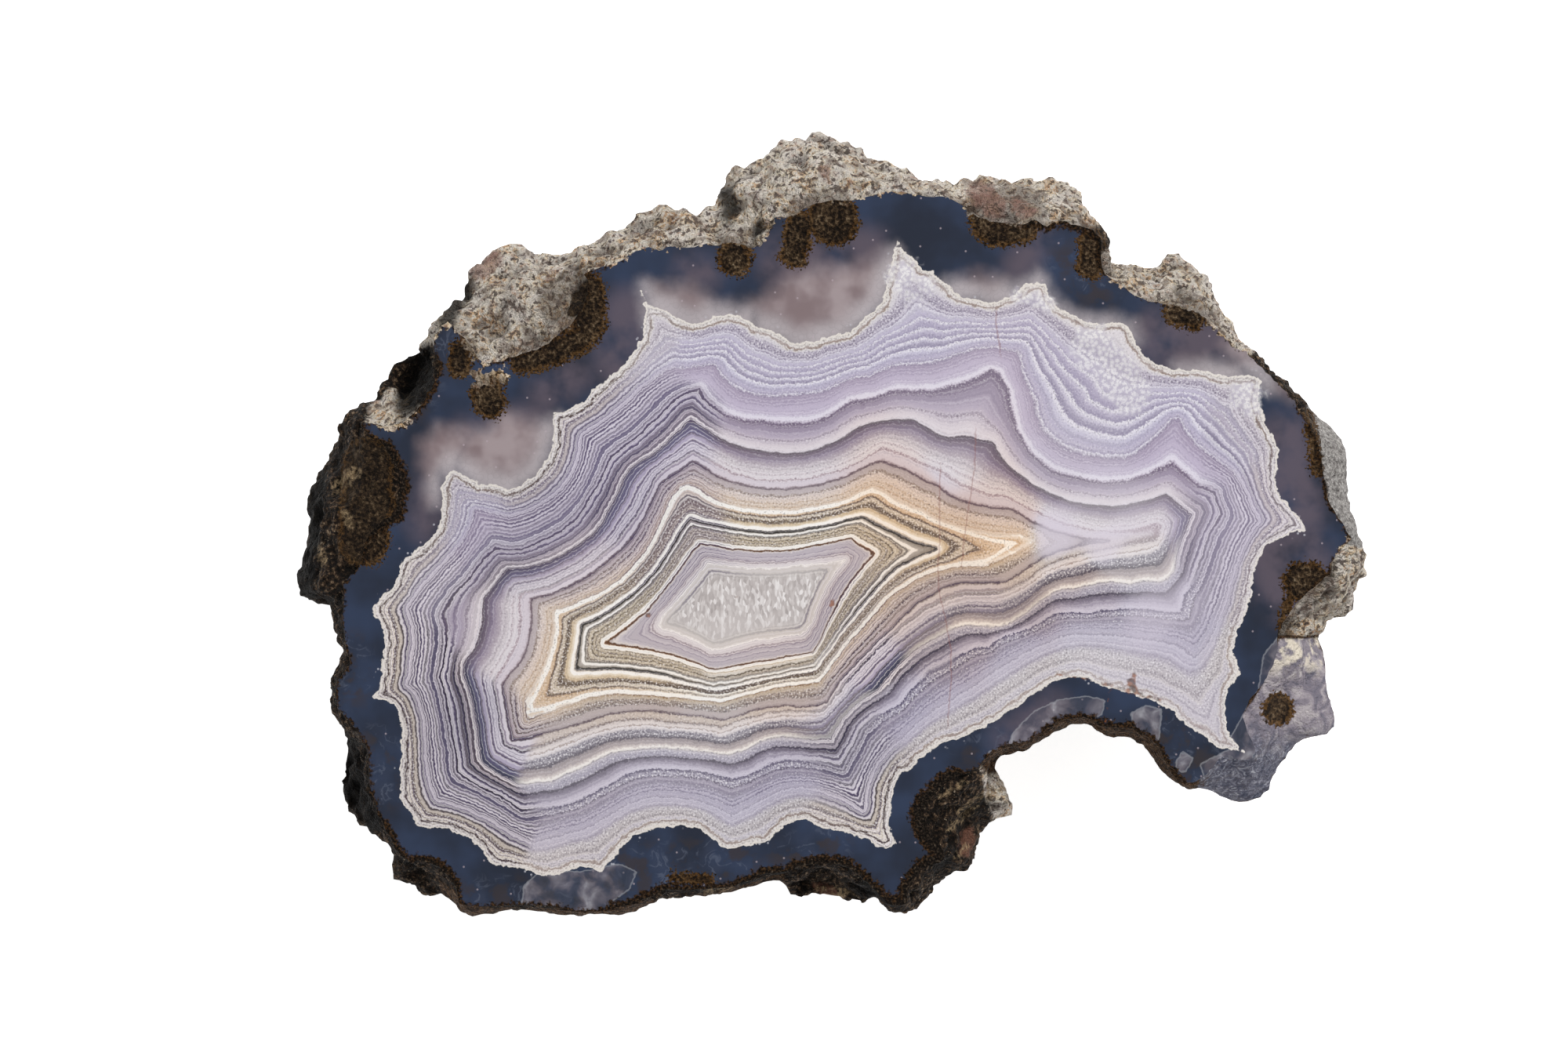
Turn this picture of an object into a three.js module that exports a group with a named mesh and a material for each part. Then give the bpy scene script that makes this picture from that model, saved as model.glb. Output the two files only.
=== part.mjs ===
// Half of a laguna agate nodule, sawn across its widest part and polished on the cut.
// It lies on its rough, rounded back, with the polished face up.
// Millimetres, +Z up. The origin is on the flat spot that it rests on, under the middle of its outline.
import * as THREE from "three";
import { ImprovedNoise } from "three/addons/math/ImprovedNoise.js";

// Driving dimensions.
const STONE_WIDTH = 96; // across the whole outline, left to right
const STONE_HEIGHT = 34; // from the flat spot to the polished face
const REST_LENGTH = 38; // the flat spot, left to right
const REST_WIDTH = 25; // the flat spot, front to back
const SHOULDER_STEPS = 4; // rows of facets between the face's edge and the outline
const BACK_STEPS = 14; // rows of facets between the outline and the flat spot
const KNOB_HEIGHT = 6; // how far the broad swellings of the back stand out
const KNOB_SIZE = 13; // how wide those swellings are
const GRIT_HEIGHT = 1.7; // how far the small lumps stand out
const GRIT_SIZE = 6; // how wide the small lumps are
const FACE_CLEARANCE = 0.12; // the rough shoulder stays this far below the face
const PLEAT_REACH = 8; // stations over which the outline's teeth are levelled on the way down
const PLEAT_FADE = 0.4; // share of the way down at which they are gone

// The rim, clockwise from the left end, in stretches of like character.
// drop is how far below the face the outline runs, in millimetres.
// bend shapes the shoulder: over 1 it stays high and then falls, under 1 it falls at the face's edge.
// Each row of at is one station: a point of the outline and the point of the face's edge that it belongs to,
// both seen from above in pixels of the 2000 x 1333 photograph: [outline x, outline y, face x, face y].
const RIM = [
  {
    name: "dark knob",
    drop: 11,
    bend: 4,
    at: [
      [373, 760, 438, 743], [378, 715, 458, 722], [383, 672, 466, 692], [391, 630, 481, 669],
      [398, 601, 505, 655], [404, 588, 508, 632], [414, 578, 511, 609], [421, 566, 501, 590],
      [425, 552, 489, 568],
    ],
  },
  {
    name: "upper left lip",
    drop: 6,
    bend: 1.4,
    at: [[431, 538, 470, 552], [445, 523, 456, 541], [460, 515, 468, 536], [472, 508, 482, 541]],
  },
  {
    name: "upper left hollow",
    drop: 7,
    bend: 0.6,
    at: [
      [481, 501, 497, 543], [478, 490, 512, 538], [486, 477, 529, 525], [498, 461, 543, 505],
      [508, 449, 554, 487], [521, 441, 558, 467], [540, 432, 551, 449],
    ],
  },
  {
    name: "corner of the rim",
    drop: 5,
    bend: 1,
    at: [[546, 418, 553, 427], [553, 403, 561, 411], [564, 398, 574, 405]],
  },
  {
    name: "left host rock",
    drop: 9,
    bend: 1.7,
    at: [
      [568, 383, 582, 417], [580, 363, 593, 434], [593, 349, 603, 448], [603, 335, 617, 462],
      [613, 324, 641, 461], [630, 316, 668, 450], [643, 307, 690, 443], [660, 307, 709, 428],
      [669, 320, 728, 412], [680, 325, 742, 394], [700, 320, 748, 371], [722, 314, 749, 350],
      [745, 308, 762, 339], [765, 299, 785, 336], [785, 291, 804, 325],
    ],
  },
  {
    name: "thin host rock",
    drop: 6,
    bend: 1.6,
    at: [
      [800, 284, 820, 315], [806, 273, 840, 317], [822, 267, 858, 312], [842, 261, 878, 314],
      [868, 260, 897, 312], [890, 264, 914, 312], [908, 262, 930, 308],
    ],
  },
  {
    name: "tall host rock",
    drop: 10,
    bend: 2.2,
    at: [
      [918, 252, 946, 308], [920, 235, 960, 314], [926, 218, 970, 312], [938, 210, 980, 296],
      [955, 206, 988, 276], [975, 196, 1004, 277], [996, 178, 1022, 266], [1020, 168, 1040, 261],
      [1044, 162, 1058, 256], [1065, 169, 1078, 256], [1082, 178, 1097, 254], [1098, 190, 1115, 248],
      [1115, 202, 1132, 244],
    ],
  },
  {
    name: "thin host rock at the top",
    drop: 6,
    bend: 1.8,
    at: [
      [1135, 201, 1147, 245], [1152, 214, 1161, 246], [1176, 228, 1182, 250], [1200, 233, 1204, 249],
      [1222, 231, 1219, 253],
    ],
  },
  {
    name: "right host rock",
    drop: 9,
    bend: 2.2,
    at: [
      [1245, 227, 1234, 267], [1262, 222, 1251, 277], [1283, 220, 1280, 284], [1305, 225, 1305, 286],
      [1321, 233, 1322, 281], [1332, 224, 1334, 289], [1345, 221, 1346, 280], [1365, 227, 1358, 280],
      [1381, 237, 1369, 286], [1387, 258, 1380, 287], [1390, 276, 1391, 289],
    ],
  },
  {
    name: "dark ball",
    drop: 5,
    bend: 0.9,
    at: [[1404, 285, 1399, 294], [1416, 305, 1409, 309], [1413, 324, 1406, 328]],
  },
  {
    name: "far right host rock",
    drop: 8,
    bend: 1.9,
    at: [
      [1427, 334, 1409, 348], [1450, 340, 1428, 362], [1471, 341, 1446, 376], [1484, 337, 1463, 383],
      [1490, 323, 1480, 383], [1506, 320, 1495, 388], [1521, 331, 1512, 393], [1537, 339, 1527, 397],
      [1547, 352, 1538, 405], [1549, 368, 1548, 415], [1562, 387, 1556, 424], [1572, 408, 1565, 433],
      [1581, 425, 1573, 440],
    ],
  },
  {
    name: "upper right lip",
    drop: 6,
    bend: 0.8,
    at: [[1598, 445, 1591, 450], [1620, 466, 1613, 471], [1645, 488, 1637, 493], [1661, 505, 1652, 511]],
  },
  {
    name: "grey shelf",
    drop: 7,
    bend: 1.8,
    at: [
      [1672, 521, 1662, 528], [1690, 530, 1672, 545], [1704, 546, 1681, 562], [1717, 563, 1686, 582],
      [1725, 590, 1689, 605], [1723, 620, 1692, 630], [1730, 645, 1703, 655], [1736, 662, 1716, 671],
      [1740, 686, 1724, 686],
    ],
  },
  {
    name: "pale block",
    drop: 8,
    bend: 2.4,
    at: [
      [1746, 708, 1711, 700], [1750, 727, 1702, 715], [1740, 745, 1697, 734], [1731, 759, 1682, 746],
      [1735, 771, 1668, 755], [1718, 784, 1655, 768], [1701, 795, 1645, 782], [1686, 809, 1637, 798],
      [1671, 821, 1632, 815],
    ],
  },
  {
    name: "broken corner",
    drop: 4.5,
    bend: 1.1,
    at: [
      [1690, 823, 1629, 833], [1696, 840, 1622, 852], [1697, 875, 1612, 873], [1707, 903, 1596, 890],
      [1710, 922, 1585, 911], [1700, 937, 1589, 928], [1680, 938, 1596, 943], [1659, 942, 1602, 957],
      [1648, 965, 1600, 968], [1630, 986, 1590, 973], [1624, 1008, 1578, 971], [1608, 1025, 1566, 963],
      [1580, 1027, 1556, 966], [1553, 1017, 1546, 980], [1536, 1008, 1535, 993],
    ],
  },
  {
    name: "bay",
    drop: 4.5,
    bend: 0.7,
    at: [
      [1519, 1009, 1519, 1001], [1504, 1003, 1508, 995], [1487, 988, 1492, 982], [1472, 967, 1480, 964],
      [1473, 957, 1479, 953], [1455, 946, 1459, 940], [1440, 939, 1442, 932], [1424, 940, 1424, 933],
      [1403, 935, 1405, 928], [1385, 922, 1384, 915], [1365, 926, 1362, 919], [1345, 935, 1340, 928],
      [1325, 950, 1320, 943], [1304, 959, 1299, 951], [1278, 964, 1272, 956], [1262, 981, 1254, 972],
    ],
  },
  {
    name: "dark lumps",
    drop: 9,
    bend: 1.7,
    at: [
      [1276, 990, 1245, 985], [1285, 1008, 1225, 989], [1297, 1027, 1204, 1001], [1295, 1045, 1186, 1018],
      [1275, 1048, 1178, 1038], [1258, 1054, 1184, 1058], [1253, 1075, 1197, 1074], [1250, 1100, 1205, 1088],
      [1238, 1110, 1207, 1098], [1215, 1118, 1194, 1103], [1200, 1131, 1176, 1109], [1186, 1143, 1163, 1122],
      [1178, 1160, 1159, 1142],
    ],
  },
  {
    name: "foot of the face",
    drop: 5,
    bend: 0.7,
    at: [[1160, 1165, 1155, 1157], [1140, 1167, 1140, 1160], [1125, 1162, 1127, 1153]],
  },
  {
    name: "bottom hollow",
    drop: 7,
    bend: 0.45,
    at: [
      [1115, 1152, 1115, 1138], [1100, 1157, 1098, 1121], [1080, 1155, 1080, 1108], [1055, 1150, 1062, 1102],
      [1030, 1146, 1045, 1102], [1010, 1143, 1028, 1105], [1002, 1130, 1012, 1110],
    ],
  },
  {
    name: "bottom lip",
    drop: 4.5,
    bend: 0.7,
    at: [
      [993, 1124, 996, 1116], [975, 1127, 975, 1119], [950, 1137, 950, 1129], [915, 1142, 915, 1135],
      [880, 1147, 880, 1140], [847, 1147, 845, 1139], [820, 1160, 817, 1152], [795, 1168, 793, 1161],
      [765, 1170, 765, 1163], [735, 1171, 735, 1163], [700, 1168, 700, 1160], [665, 1163, 665, 1156],
      [635, 1168, 635, 1160], [600, 1169, 602, 1161], [578, 1164, 586, 1156], [572, 1149, 580, 1139],
    ],
  },
  {
    name: "corner hollow",
    drop: 9,
    bend: 0.4,
    at: [
      [556, 1143, 575, 1125], [535, 1146, 563, 1109], [517, 1142, 546, 1101], [503, 1128, 524, 1102],
      [497, 1108, 508, 1096],
    ],
  },
  { name: "left lip", drop: 5.5, bend: 0.8, at: [[491, 1083, 499, 1076], [479, 1069, 490, 1061]] },
  {
    name: "left hollow",
    drop: 9,
    bend: 0.4,
    at: [
      [459, 1060, 483, 1045], [443, 1046, 475, 1025], [434, 1022, 470, 1000], [428, 998, 469, 980],
      [432, 970, 467, 960], [437, 946, 460, 941], [435, 929, 448, 926],
    ],
  },
  {
    name: "scalloped left lip",
    drop: 5,
    bend: 0.8,
    at: [
      [424, 913, 433, 908], [414, 886, 423, 886], [419, 866, 428, 868], [435, 844, 444, 846],
      [431, 818, 440, 818], [422, 790, 432, 790], [426, 772, 436, 772],
    ],
  },
  { name: "end of the knob", drop: 10, bend: 2.5, at: [[405, 773, 437, 760], [391, 767, 437, 751]] },
];

// Rounded hollows in the rind, where the stone has broken back under the face's edge.
// Plan position in pixels of the photograph, radius and depth in millimetres.
const HOLLOWS = [
  { x: 524, y: 476, radius: 3.0, depth: 2.6 },
  { x: 585, y: 372, radius: 1.8, depth: 2.2 },
  { x: 955, y: 288, radius: 2.2, depth: 2.0 },
  { x: 725, y: 385, radius: 2.6, depth: 1.6 },
  { x: 905, y: 268, radius: 1.8, depth: 1.6 },
  { x: 1058, y: 1132, radius: 3.2, depth: 2.2 },
  { x: 1235, y: 1048, radius: 2.4, depth: 1.8 },
];

// Bosses of host rock that still cling to the hidden back: direction round the stone and down it, in degrees.
const BOSSES = [
  { turn: 25, down: 38, radius: 11, height: 3.2 },
  { turn: 78, down: 30, radius: 12, height: 3.6 },
  { turn: 128, down: 44, radius: 10, height: 3.0 },
  { turn: 190, down: 36, radius: 11, height: 2.6 },
  { turn: 238, down: 48, radius: 9, height: 2.8 },
  { turn: 292, down: 34, radius: 12, height: 3.2 },
  { turn: 335, down: 50, radius: 8, height: 2.4 },
];

const stretches = RIM.flatMap(({ drop, bend, at }) =>
  at.map(([outlineX, outlineY, faceX, faceY]) => ({ drop, bend, outlineX, outlineY, faceX, faceY })),
);

const middle = (values) => (Math.min(...values) + Math.max(...values)) / 2;
const span = (values) => Math.max(...values) - Math.min(...values);
const outlineX = stretches.map((s) => s.outlineX);
const outlineY = stretches.map((s) => s.outlineY);
const MM_PER_PIXEL = STONE_WIDTH / span(outlineX);

function onPlan(x, y) {
  return new THREE.Vector2(x - middle(outlineX), middle(outlineY) - y).multiplyScalar(MM_PER_PIXEL);
}

// The mean of a station's own value and those up to reach stations away, so that one stretch runs into the next.
function eased(values, i, reach) {
  let sum = 0;
  for (let k = -reach; k <= reach; k++) {
    sum += values[(i + k + values.length) % values.length];
  }
  return sum / (2 * reach + 1);
}

function least(values, i, reach) {
  let low = values[i];
  for (let k = -reach; k <= reach; k++) {
    low = Math.min(low, values[(i + k + values.length) % values.length]);
  }
  return low;
}

// Stations in the part's frame, anticlockwise from above.
// outline and face are on the rim, rest is on the flat spot's edge, core is the outline without its teeth.
function rimStations() {
  const drops = stretches.map((s) => s.drop);
  const bends = stretches.map((s) => s.bend);
  const lengths = stretches.map((s) => onPlan(s.outlineX, s.outlineY).length());
  const reaches = lengths.map((_, i) => least(lengths, i, PLEAT_REACH));
  return stretches
    .map((s, i) => ({
      outline: onPlan(s.outlineX, s.outlineY),
      face: onPlan(s.faceX, s.faceY),
      rest: restPoint(onPlan(eased(outlineX, i, 16), eased(outlineY, i, 16))),
      core: onPlan(eased(outlineX, i, PLEAT_REACH), eased(outlineY, i, PLEAT_REACH)).setLength(eased(reaches, i, PLEAT_REACH)),
      drop: eased(drops, i, 2),
      bend: eased(bends, i, 2),
    }))
    .reverse();
}

const perlin = new ImprovedNoise();

function swelling(p, size) {
  return perlin.noise(p.x / size + 7.3, p.y / size + 2.1, p.z / size + 4.7);
}

// Rounded lumps: noise folded so that its creases point inwards.
function lumps(p) {
  return GRIT_HEIGHT * (2 * Math.abs(swelling(p, GRIT_SIZE)) - 0.5);
}

function bossHeight(p) {
  let height = 0;
  for (const { turn, down, radius, height: tall } of BOSSES) {
    const a = THREE.MathUtils.degToRad(turn);
    const d = THREE.MathUtils.degToRad(down);
    const reach = 0.5 * STONE_WIDTH;
    const centre = new THREE.Vector3(
      0.86 * reach * Math.cos(a) * Math.cos(d),
      0.62 * reach * Math.sin(a) * Math.cos(d),
      0.72 * STONE_HEIGHT * (1 - Math.sin(d)),
    );
    const near = Math.max(0, 1 - p.distanceToSquared(centre) / (radius * radius));
    height += tall * near * near;
  }
  return height;
}

function hollowDepth(p) {
  let depth = 0;
  for (const { x, y, radius, depth: deep } of HOLLOWS) {
    const away = onPlan(x, y).distanceTo(new THREE.Vector2(p.x, p.y)) / radius;
    depth += deep * Math.max(0, 1 - away * away);
  }
  return depth;
}

// A point of the rough shoulder, a share t of the way from the face's edge to the outline.
function shoulderPoint({ outline, face, drop, bend }, t) {
  const plan = face.clone().lerp(outline, t);
  const p = new THREE.Vector3(plan.x, plan.y, STONE_HEIGHT - drop * t ** bend);
  const width = face.distanceTo(outline);
  const loose = Math.sin(Math.PI * t) * Math.min(1, width / 3);
  p.z += loose * lumps(p) - hollowDepth(p) * Math.min(1, 4 * t) * Math.min(1, 2.5 * (1 - t));
  p.z = THREE.MathUtils.clamp(p.z, STONE_HEIGHT - 1.25 * drop, STONE_HEIGHT - FACE_CLEARANCE);
  return p;
}

// The point of the flat spot's edge that lies in the same direction as a point of the plan.
function restPoint(plan) {
  const angle = Math.atan2(plan.y / REST_WIDTH, plan.x / REST_LENGTH);
  const wobble = 1 + 0.09 * Math.sin(3 * angle + 0.6) + 0.05 * Math.sin(5 * angle);
  return new THREE.Vector2(REST_LENGTH * Math.cos(angle), REST_WIDTH * Math.sin(angle)).multiplyScalar(wobble / 2);
}

function isInside(p, loop) {
  let inside = false;
  for (let i = 0, j = loop.length - 1; i < loop.length; j = i, i++) {
    const a = loop[i];
    const b = loop[j];
    if (a.y > p.y !== b.y > p.y && p.x < ((b.x - a.x) * (p.y - a.y)) / (b.y - a.y) + a.x) {
      inside = !inside;
    }
  }
  return inside;
}

// Moves a point of the back that would show past the rim from above to just inside the outline.
function pullUnder(p, loop) {
  if (isInside(p, loop)) {
    return;
  }
  const here = new THREE.Vector3(p.x, p.y, 0);
  const nearest = new THREE.Vector3();
  let least = Infinity;
  loop.forEach((a, i) => {
    const b = loop[(i + 1) % loop.length];
    const edge = new THREE.Line3(new THREE.Vector3(a.x, a.y, 0), new THREE.Vector3(b.x, b.y, 0));
    const foot = edge.closestPointToPoint(here, true, new THREE.Vector3());
    if (foot.distanceTo(here) < least) {
      least = foot.distanceTo(here);
      nearest.copy(foot);
    }
  });
  const inwards = nearest.clone().sub(here).setLength(0.15);
  p.x = nearest.x + inwards.x;
  p.y = nearest.y + inwards.y;
}

// A point of the rounded back, from the outline at share 0 down to the flat spot at share 1.
function backPoint({ outline, core, rest, drop }, share) {
  const fall = (share * Math.PI) / 2;
  const girth = outline.clone().lerp(core, THREE.MathUtils.smoothstep(share, 0, PLEAT_FADE));
  const plan = rest.clone().lerp(girth, Math.cos(fall) ** 0.58);
  const p = new THREE.Vector3(plan.x, plan.y, (STONE_HEIGHT - drop) * (1 - Math.sin(fall) ** 1.15));
  const outwards = new THREE.Vector3(plan.x, plan.y, 1.3 * (p.z - 0.7 * STONE_HEIGHT)).normalize();
  const window = Math.sin(Math.PI * share) ** 0.8;
  const rough = KNOB_HEIGHT * swelling(p, KNOB_SIZE) + lumps(p) + bossHeight(p) - KNOB_HEIGHT / 5;
  p.addScaledVector(outwards, window * rough);
  const spoke = girth.clone().sub(rest);
  const along = (p.x - rest.x) * spoke.x + (p.y - rest.y) * spoke.y;
  const beyond = along / spoke.lengthSq() - 0.985;
  if (beyond > 0) {
    p.x -= beyond * spoke.x;
    p.y -= beyond * spoke.y;
  }
  p.z = Math.max(p.z, 0.3);
  return p;
}

// Rings of vertices from the face's edge, over the outline and down to the flat spot.
function rings(stations) {
  const made = [stations.map(({ face }) => new THREE.Vector3(face.x, face.y, STONE_HEIGHT))];
  const loop = stations.map(({ outline }) => outline);
  for (let k = 1; k <= SHOULDER_STEPS; k++) {
    made.push(stations.map((s) => shoulderPoint(s, k / SHOULDER_STEPS)));
  }
  for (let k = 1; k < BACK_STEPS; k++) {
    const row = stations.map((s) => backPoint(s, k / BACK_STEPS));
    row.forEach((p) => pullUnder(p, loop));
    made.push(row);
  }
  made.push(stations.map(({ rest }) => new THREE.Vector3(rest.x, rest.y, 0)));
  return made;
}

// One closed surface: the flat face, the bands between rings, and the flat spot.
function nodule() {
  const loops = rings(rimStations());
  const around = loops[0].length;
  const positions = loops.flat().flatMap((p) => [p.x, p.y, p.z]);
  const index = [];
  const flat = (ring) => THREE.ShapeUtils.triangulateShape(ring.map((p) => new THREE.Vector2(p.x, p.y)), []);
  for (const [a, b, c] of flat(loops[0])) {
    index.push(a, b, c);
  }
  for (let ring = 0; ring < loops.length - 1; ring++) {
    for (let i = 0; i < around; i++) {
      const next = (i + 1) % around;
      const upper = ring * around;
      const lower = upper + around;
      index.push(upper + i, lower + i, lower + next);
      index.push(upper + i, lower + next, upper + next);
    }
  }
  const last = (loops.length - 1) * around;
  for (const [a, b, c] of flat(loops.at(-1))) {
    index.push(last + a, last + c, last + b);
  }
  const geometry = new THREE.BufferGeometry();
  geometry.setAttribute("position", new THREE.Float32BufferAttribute(positions, 3));
  geometry.setIndex(index);
  geometry.computeVertexNormals();
  return geometry;
}

const agate = new THREE.Mesh(
  nodule(),
  new THREE.MeshStandardMaterial({ color: 0xb9b0c4, roughness: 0.25, metalness: 0 }),
);
agate.name = "agate_half";

const specimen = new THREE.Group();
specimen.add(agate);

export default specimen;
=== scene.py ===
import bmesh
import bpy
import numpy as np
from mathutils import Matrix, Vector, geometry, noise


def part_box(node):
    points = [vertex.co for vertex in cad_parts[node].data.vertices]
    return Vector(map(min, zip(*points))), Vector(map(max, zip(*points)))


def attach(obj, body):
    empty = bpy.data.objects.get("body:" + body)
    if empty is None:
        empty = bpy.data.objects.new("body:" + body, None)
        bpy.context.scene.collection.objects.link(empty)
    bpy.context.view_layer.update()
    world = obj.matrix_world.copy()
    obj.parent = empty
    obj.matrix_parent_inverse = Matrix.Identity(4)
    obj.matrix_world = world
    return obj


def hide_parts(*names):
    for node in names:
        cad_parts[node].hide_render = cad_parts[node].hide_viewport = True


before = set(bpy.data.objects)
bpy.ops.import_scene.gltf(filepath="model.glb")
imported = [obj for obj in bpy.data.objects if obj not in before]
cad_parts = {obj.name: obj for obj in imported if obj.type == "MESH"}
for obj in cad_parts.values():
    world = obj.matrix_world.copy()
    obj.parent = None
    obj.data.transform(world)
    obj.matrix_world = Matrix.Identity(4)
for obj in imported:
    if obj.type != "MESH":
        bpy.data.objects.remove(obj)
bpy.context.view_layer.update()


# Camera: straight above the polished face, as the photograph was taken. The lens is long, so that the
# parts of the rim that lie below the face are not drawn smaller than they are.
CAD_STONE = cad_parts["agate_half"]
STONE_LOW, STONE_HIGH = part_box("agate_half")
FACE_HEIGHT = STONE_HIGH.z
PIXEL = (STONE_HIGH.x - STONE_LOW.x) / 1377
ORIGIN_PIXEL = (1061.5, 666.5)
PHOTO_CENTRE = (1000, 666.5)
PHOTO_WIDTH = 2000
LENS = 300


def on_stone(x, y):
    """The place on the stone, in metres, of a pixel of the photograph."""
    return (x - ORIGIN_PIXEL[0]) * PIXEL, (ORIGIN_PIXEL[1] - y) * PIXEL


def in_photo(points):
    """The photograph's pixels, x and y, that points of the stone are seen at."""
    return points[:, 0] / PIXEL + ORIGIN_PIXEL[0], ORIGIN_PIXEL[1] - points[:, 1] / PIXEL


camera_data = bpy.data.cameras.new("camera")
camera_data.lens = LENS
camera_data.sensor_width = 36
camera_data.clip_end = 10
camera = bpy.data.objects.new("camera", camera_data)
bpy.context.scene.collection.objects.link(camera)
camera_distance = LENS / camera_data.sensor_width * PHOTO_WIDTH * PIXEL
camera.location = (*on_stone(*PHOTO_CENTRE), FACE_HEIGHT + camera_distance)
bpy.context.scene.camera = camera


# Floor and lights: a plain white table under soft lights from the upper right and the left. None of
# them stands straight over the polished face, which would mirror it.
bpy.ops.object.select_all(action="DESELECT")
bpy.ops.mesh.primitive_plane_add(size=6, location=(0, 0, 0))
floor = bpy.context.object
floor.name = "floor"
floor_paint = bpy.data.materials.new("floor_white")
floor_paint.use_nodes = True
floor_shader = floor_paint.node_tree.nodes["Principled BSDF"]
floor_shader.inputs["Base Color"].default_value = (0.93, 0.93, 0.93, 1)
floor_shader.inputs["Roughness"].default_value = 0.9
floor_shader.inputs["Specular IOR Level"].default_value = 0.1
floor_shader.inputs["Emission Color"].default_value = (1, 1, 1, 1)
floor_shader.inputs["Emission Strength"].default_value = 0.8
floor.data.materials.append(floor_paint)

for name, place, size, power in (
    ("key_light", (0.26, 0.34, 0.62), 0.26, 4.2),
    ("fill_light", (-0.42, -0.16, 0.70), 0.60, 1.2),
):
    light = bpy.data.lights.new(name, "AREA")
    light.size = size
    light.energy = power
    lamp = bpy.data.objects.new(name, light)
    lamp.location = place
    lamp.rotation_euler = (-Vector(place)).to_track_quat("-Z", "Y").to_euler()
    bpy.context.scene.collection.objects.link(lamp)

world = bpy.data.worlds.new("studio")
world.use_nodes = True
world.node_tree.nodes["Background"].inputs["Color"].default_value = (1, 1, 1, 1)
world.node_tree.nodes["Background"].inputs["Strength"].default_value = 0.22
bpy.context.scene.world = world
bpy.context.scene.view_settings.view_transform = "Standard"


# The rough rind: host rock, dark crust and broken chalcedony, from the face's edge down to the flat
# spot. The stone's solid is remeshed finely, worn into grains and lumps, and left open where the
# polished face closes it.
BACK_MESH = 0.00072
CUT_DEPTH = 0.00016
SHOULDER_DEPTH = 0.0135
RELIEF_HEIGHT = 0.001
EDGE_SLOPE = 0.6
EDGE_REACH = 0.0009
EDGE_RAGGEDNESS = 0.00013
CREST_DEPTH = 0.0006
HOST_ROCK = [
    "541,432 520,420 560,330 640,280 700,300 760,290 820,270 960,230 957,310 935,306 898,310 868,312 "
    "839,317 809,317 805,325 787,336 772,340 754,340 735,354 720,369 713,399 713,414 735,414 724,417 "
    "705,421 691,436 654,451 639,458 620,465 602,454 587,432 580,412 560,425",
    "957,310 935,312 912,300 908,225 930,195 960,185 1040,140 1130,180 1235,215 1290,195 1400,205 "
    "1410,250 1391,284 1372,282 1357,281 1335,281 1317,282 1294,286 1272,281 1246,275 1230,264 1224,253 "
    "1202,249 1176,247 1154,245 1132,245 1102,251 1080,257 1061,255 1046,251 1028,264 1002,275 987,277 "
    "980,292 969,306 954,312",
    "1409,332 1440,310 1500,300 1570,345 1600,430 1585,448 1572,440 1555,425 1535,405 1510,392 1480,385 "
    "1460,377 1435,366 1416,355",
    "1707,700 1727,686 1747,709 1750,760 1733,775 1704,795 1681,815 1667,822 1652,818 1641,801 1646,792 "
    "1664,772 1678,755 1698,749 1701,723",
    "602,470 625,478 640,470 650,478 645,488 618,492 612,500 605,495",
    "476,528 498,508 503,534 518,533 530,527 524,541 496,550 480,542",
    "1262,985 1290,1005 1305,1030 1302,1048 1280,1045 1268,1012",
]
# outlines of hollows and of flanks turned away from the light, where the rind's colour is painted near black
# as shadow
PAINTED_SHADOW_OUTLINES = [
    "548,432 557,470 553,500 532,527 505,532 500,505 520,470 535,445",
    "410,590 416,620 406,680 400,768 370,768 372,700 388,630",
    "918,238 932,226 942,252 934,290 918,280",
    "954,292 972,274 982,288 962,312",
    "556,428 562,388 588,352 602,348 600,378 586,402 574,424",
    "424,925 452,940 472,1000 492,1062 470,1066 430,1020",
    "1075,1120 1110,1125 1118,1150 1095,1150",
]
RUSTS = [
    (610, 345, 626, 328, 13), (1250, 244, 1268, 262, 17), (1298, 262, 1312, 270, 10),
    (700, 350, 706, 346, 4), (1050, 215, 1054, 222, 7), (1236, 1068, 1232, 1086, 9),
    (1044, 1134, 1064, 1144, 7),
]
GREY_SHELF = ["1668,515 1740,560 1745,700 1702,690 1694,640 1690,585"]
BROKEN_CORNER = [
    "1632,815 1690,812 1725,925 1690,960 1640,1040 1525,1030 1530,985 1560,960 1590,960 1580,915 "
    "1608,878",
]
BAY_EDGE = [
    "1238,955 1300,918 1360,890 1400,892 1450,900 1480,940 1535,975 1535,1045 1480,1018 1436,968 "
    "1400,942 1340,956 1290,976 1262,992",
    "560,1125 620,1158 700,1160 780,1150 860,1148 960,1128 1000,1120 1000,1190 560,1190",
]


def corners_of(outline):
    return [tuple(float(number) for number in pair.split(",")) for pair in outline.split()]


def squared_distance(x, y, ax, ay, bx, by):
    """The square of how far places lie from the straight line between two corners."""
    dx, dy = bx - ax, by - ay
    along = np.clip(((x - ax) * dx + (y - ay) * dy) / max(dx * dx + dy * dy, 1e-9), 0, 1)
    return (x - ax - along * dx) ** 2 + (y - ay - along * dy) ** 2


def depth_inside(x, y, corners):
    """How far places lie inside a closed outline, in pixels; negative outside it."""
    nearest = np.full(len(x), np.inf)
    inside = np.zeros(len(x), bool)
    for (ax, ay), (bx, by) in zip(corners, corners[1:] + corners[:1]):
        nearest = np.minimum(nearest, squared_distance(x, y, ax, ay, bx, by))
        if ay != by:
            inside ^= ((ay > y) != (by > y)) & (x < (bx - ax) * (y - ay) / (by - ay) + ax)
    return np.where(inside, 1, -1) * np.sqrt(nearest)


def deepest_inside(x, y, outlines):
    return np.max([depth_inside(x, y, corners_of(outline)) for outline in outlines], axis=0)


def rise(values, low, high):
    """0 below low, 1 above high and a smooth step between."""
    share = np.clip((values - low) / (high - low), 0, 1)
    return share * share * (3 - 2 * share)


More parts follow.
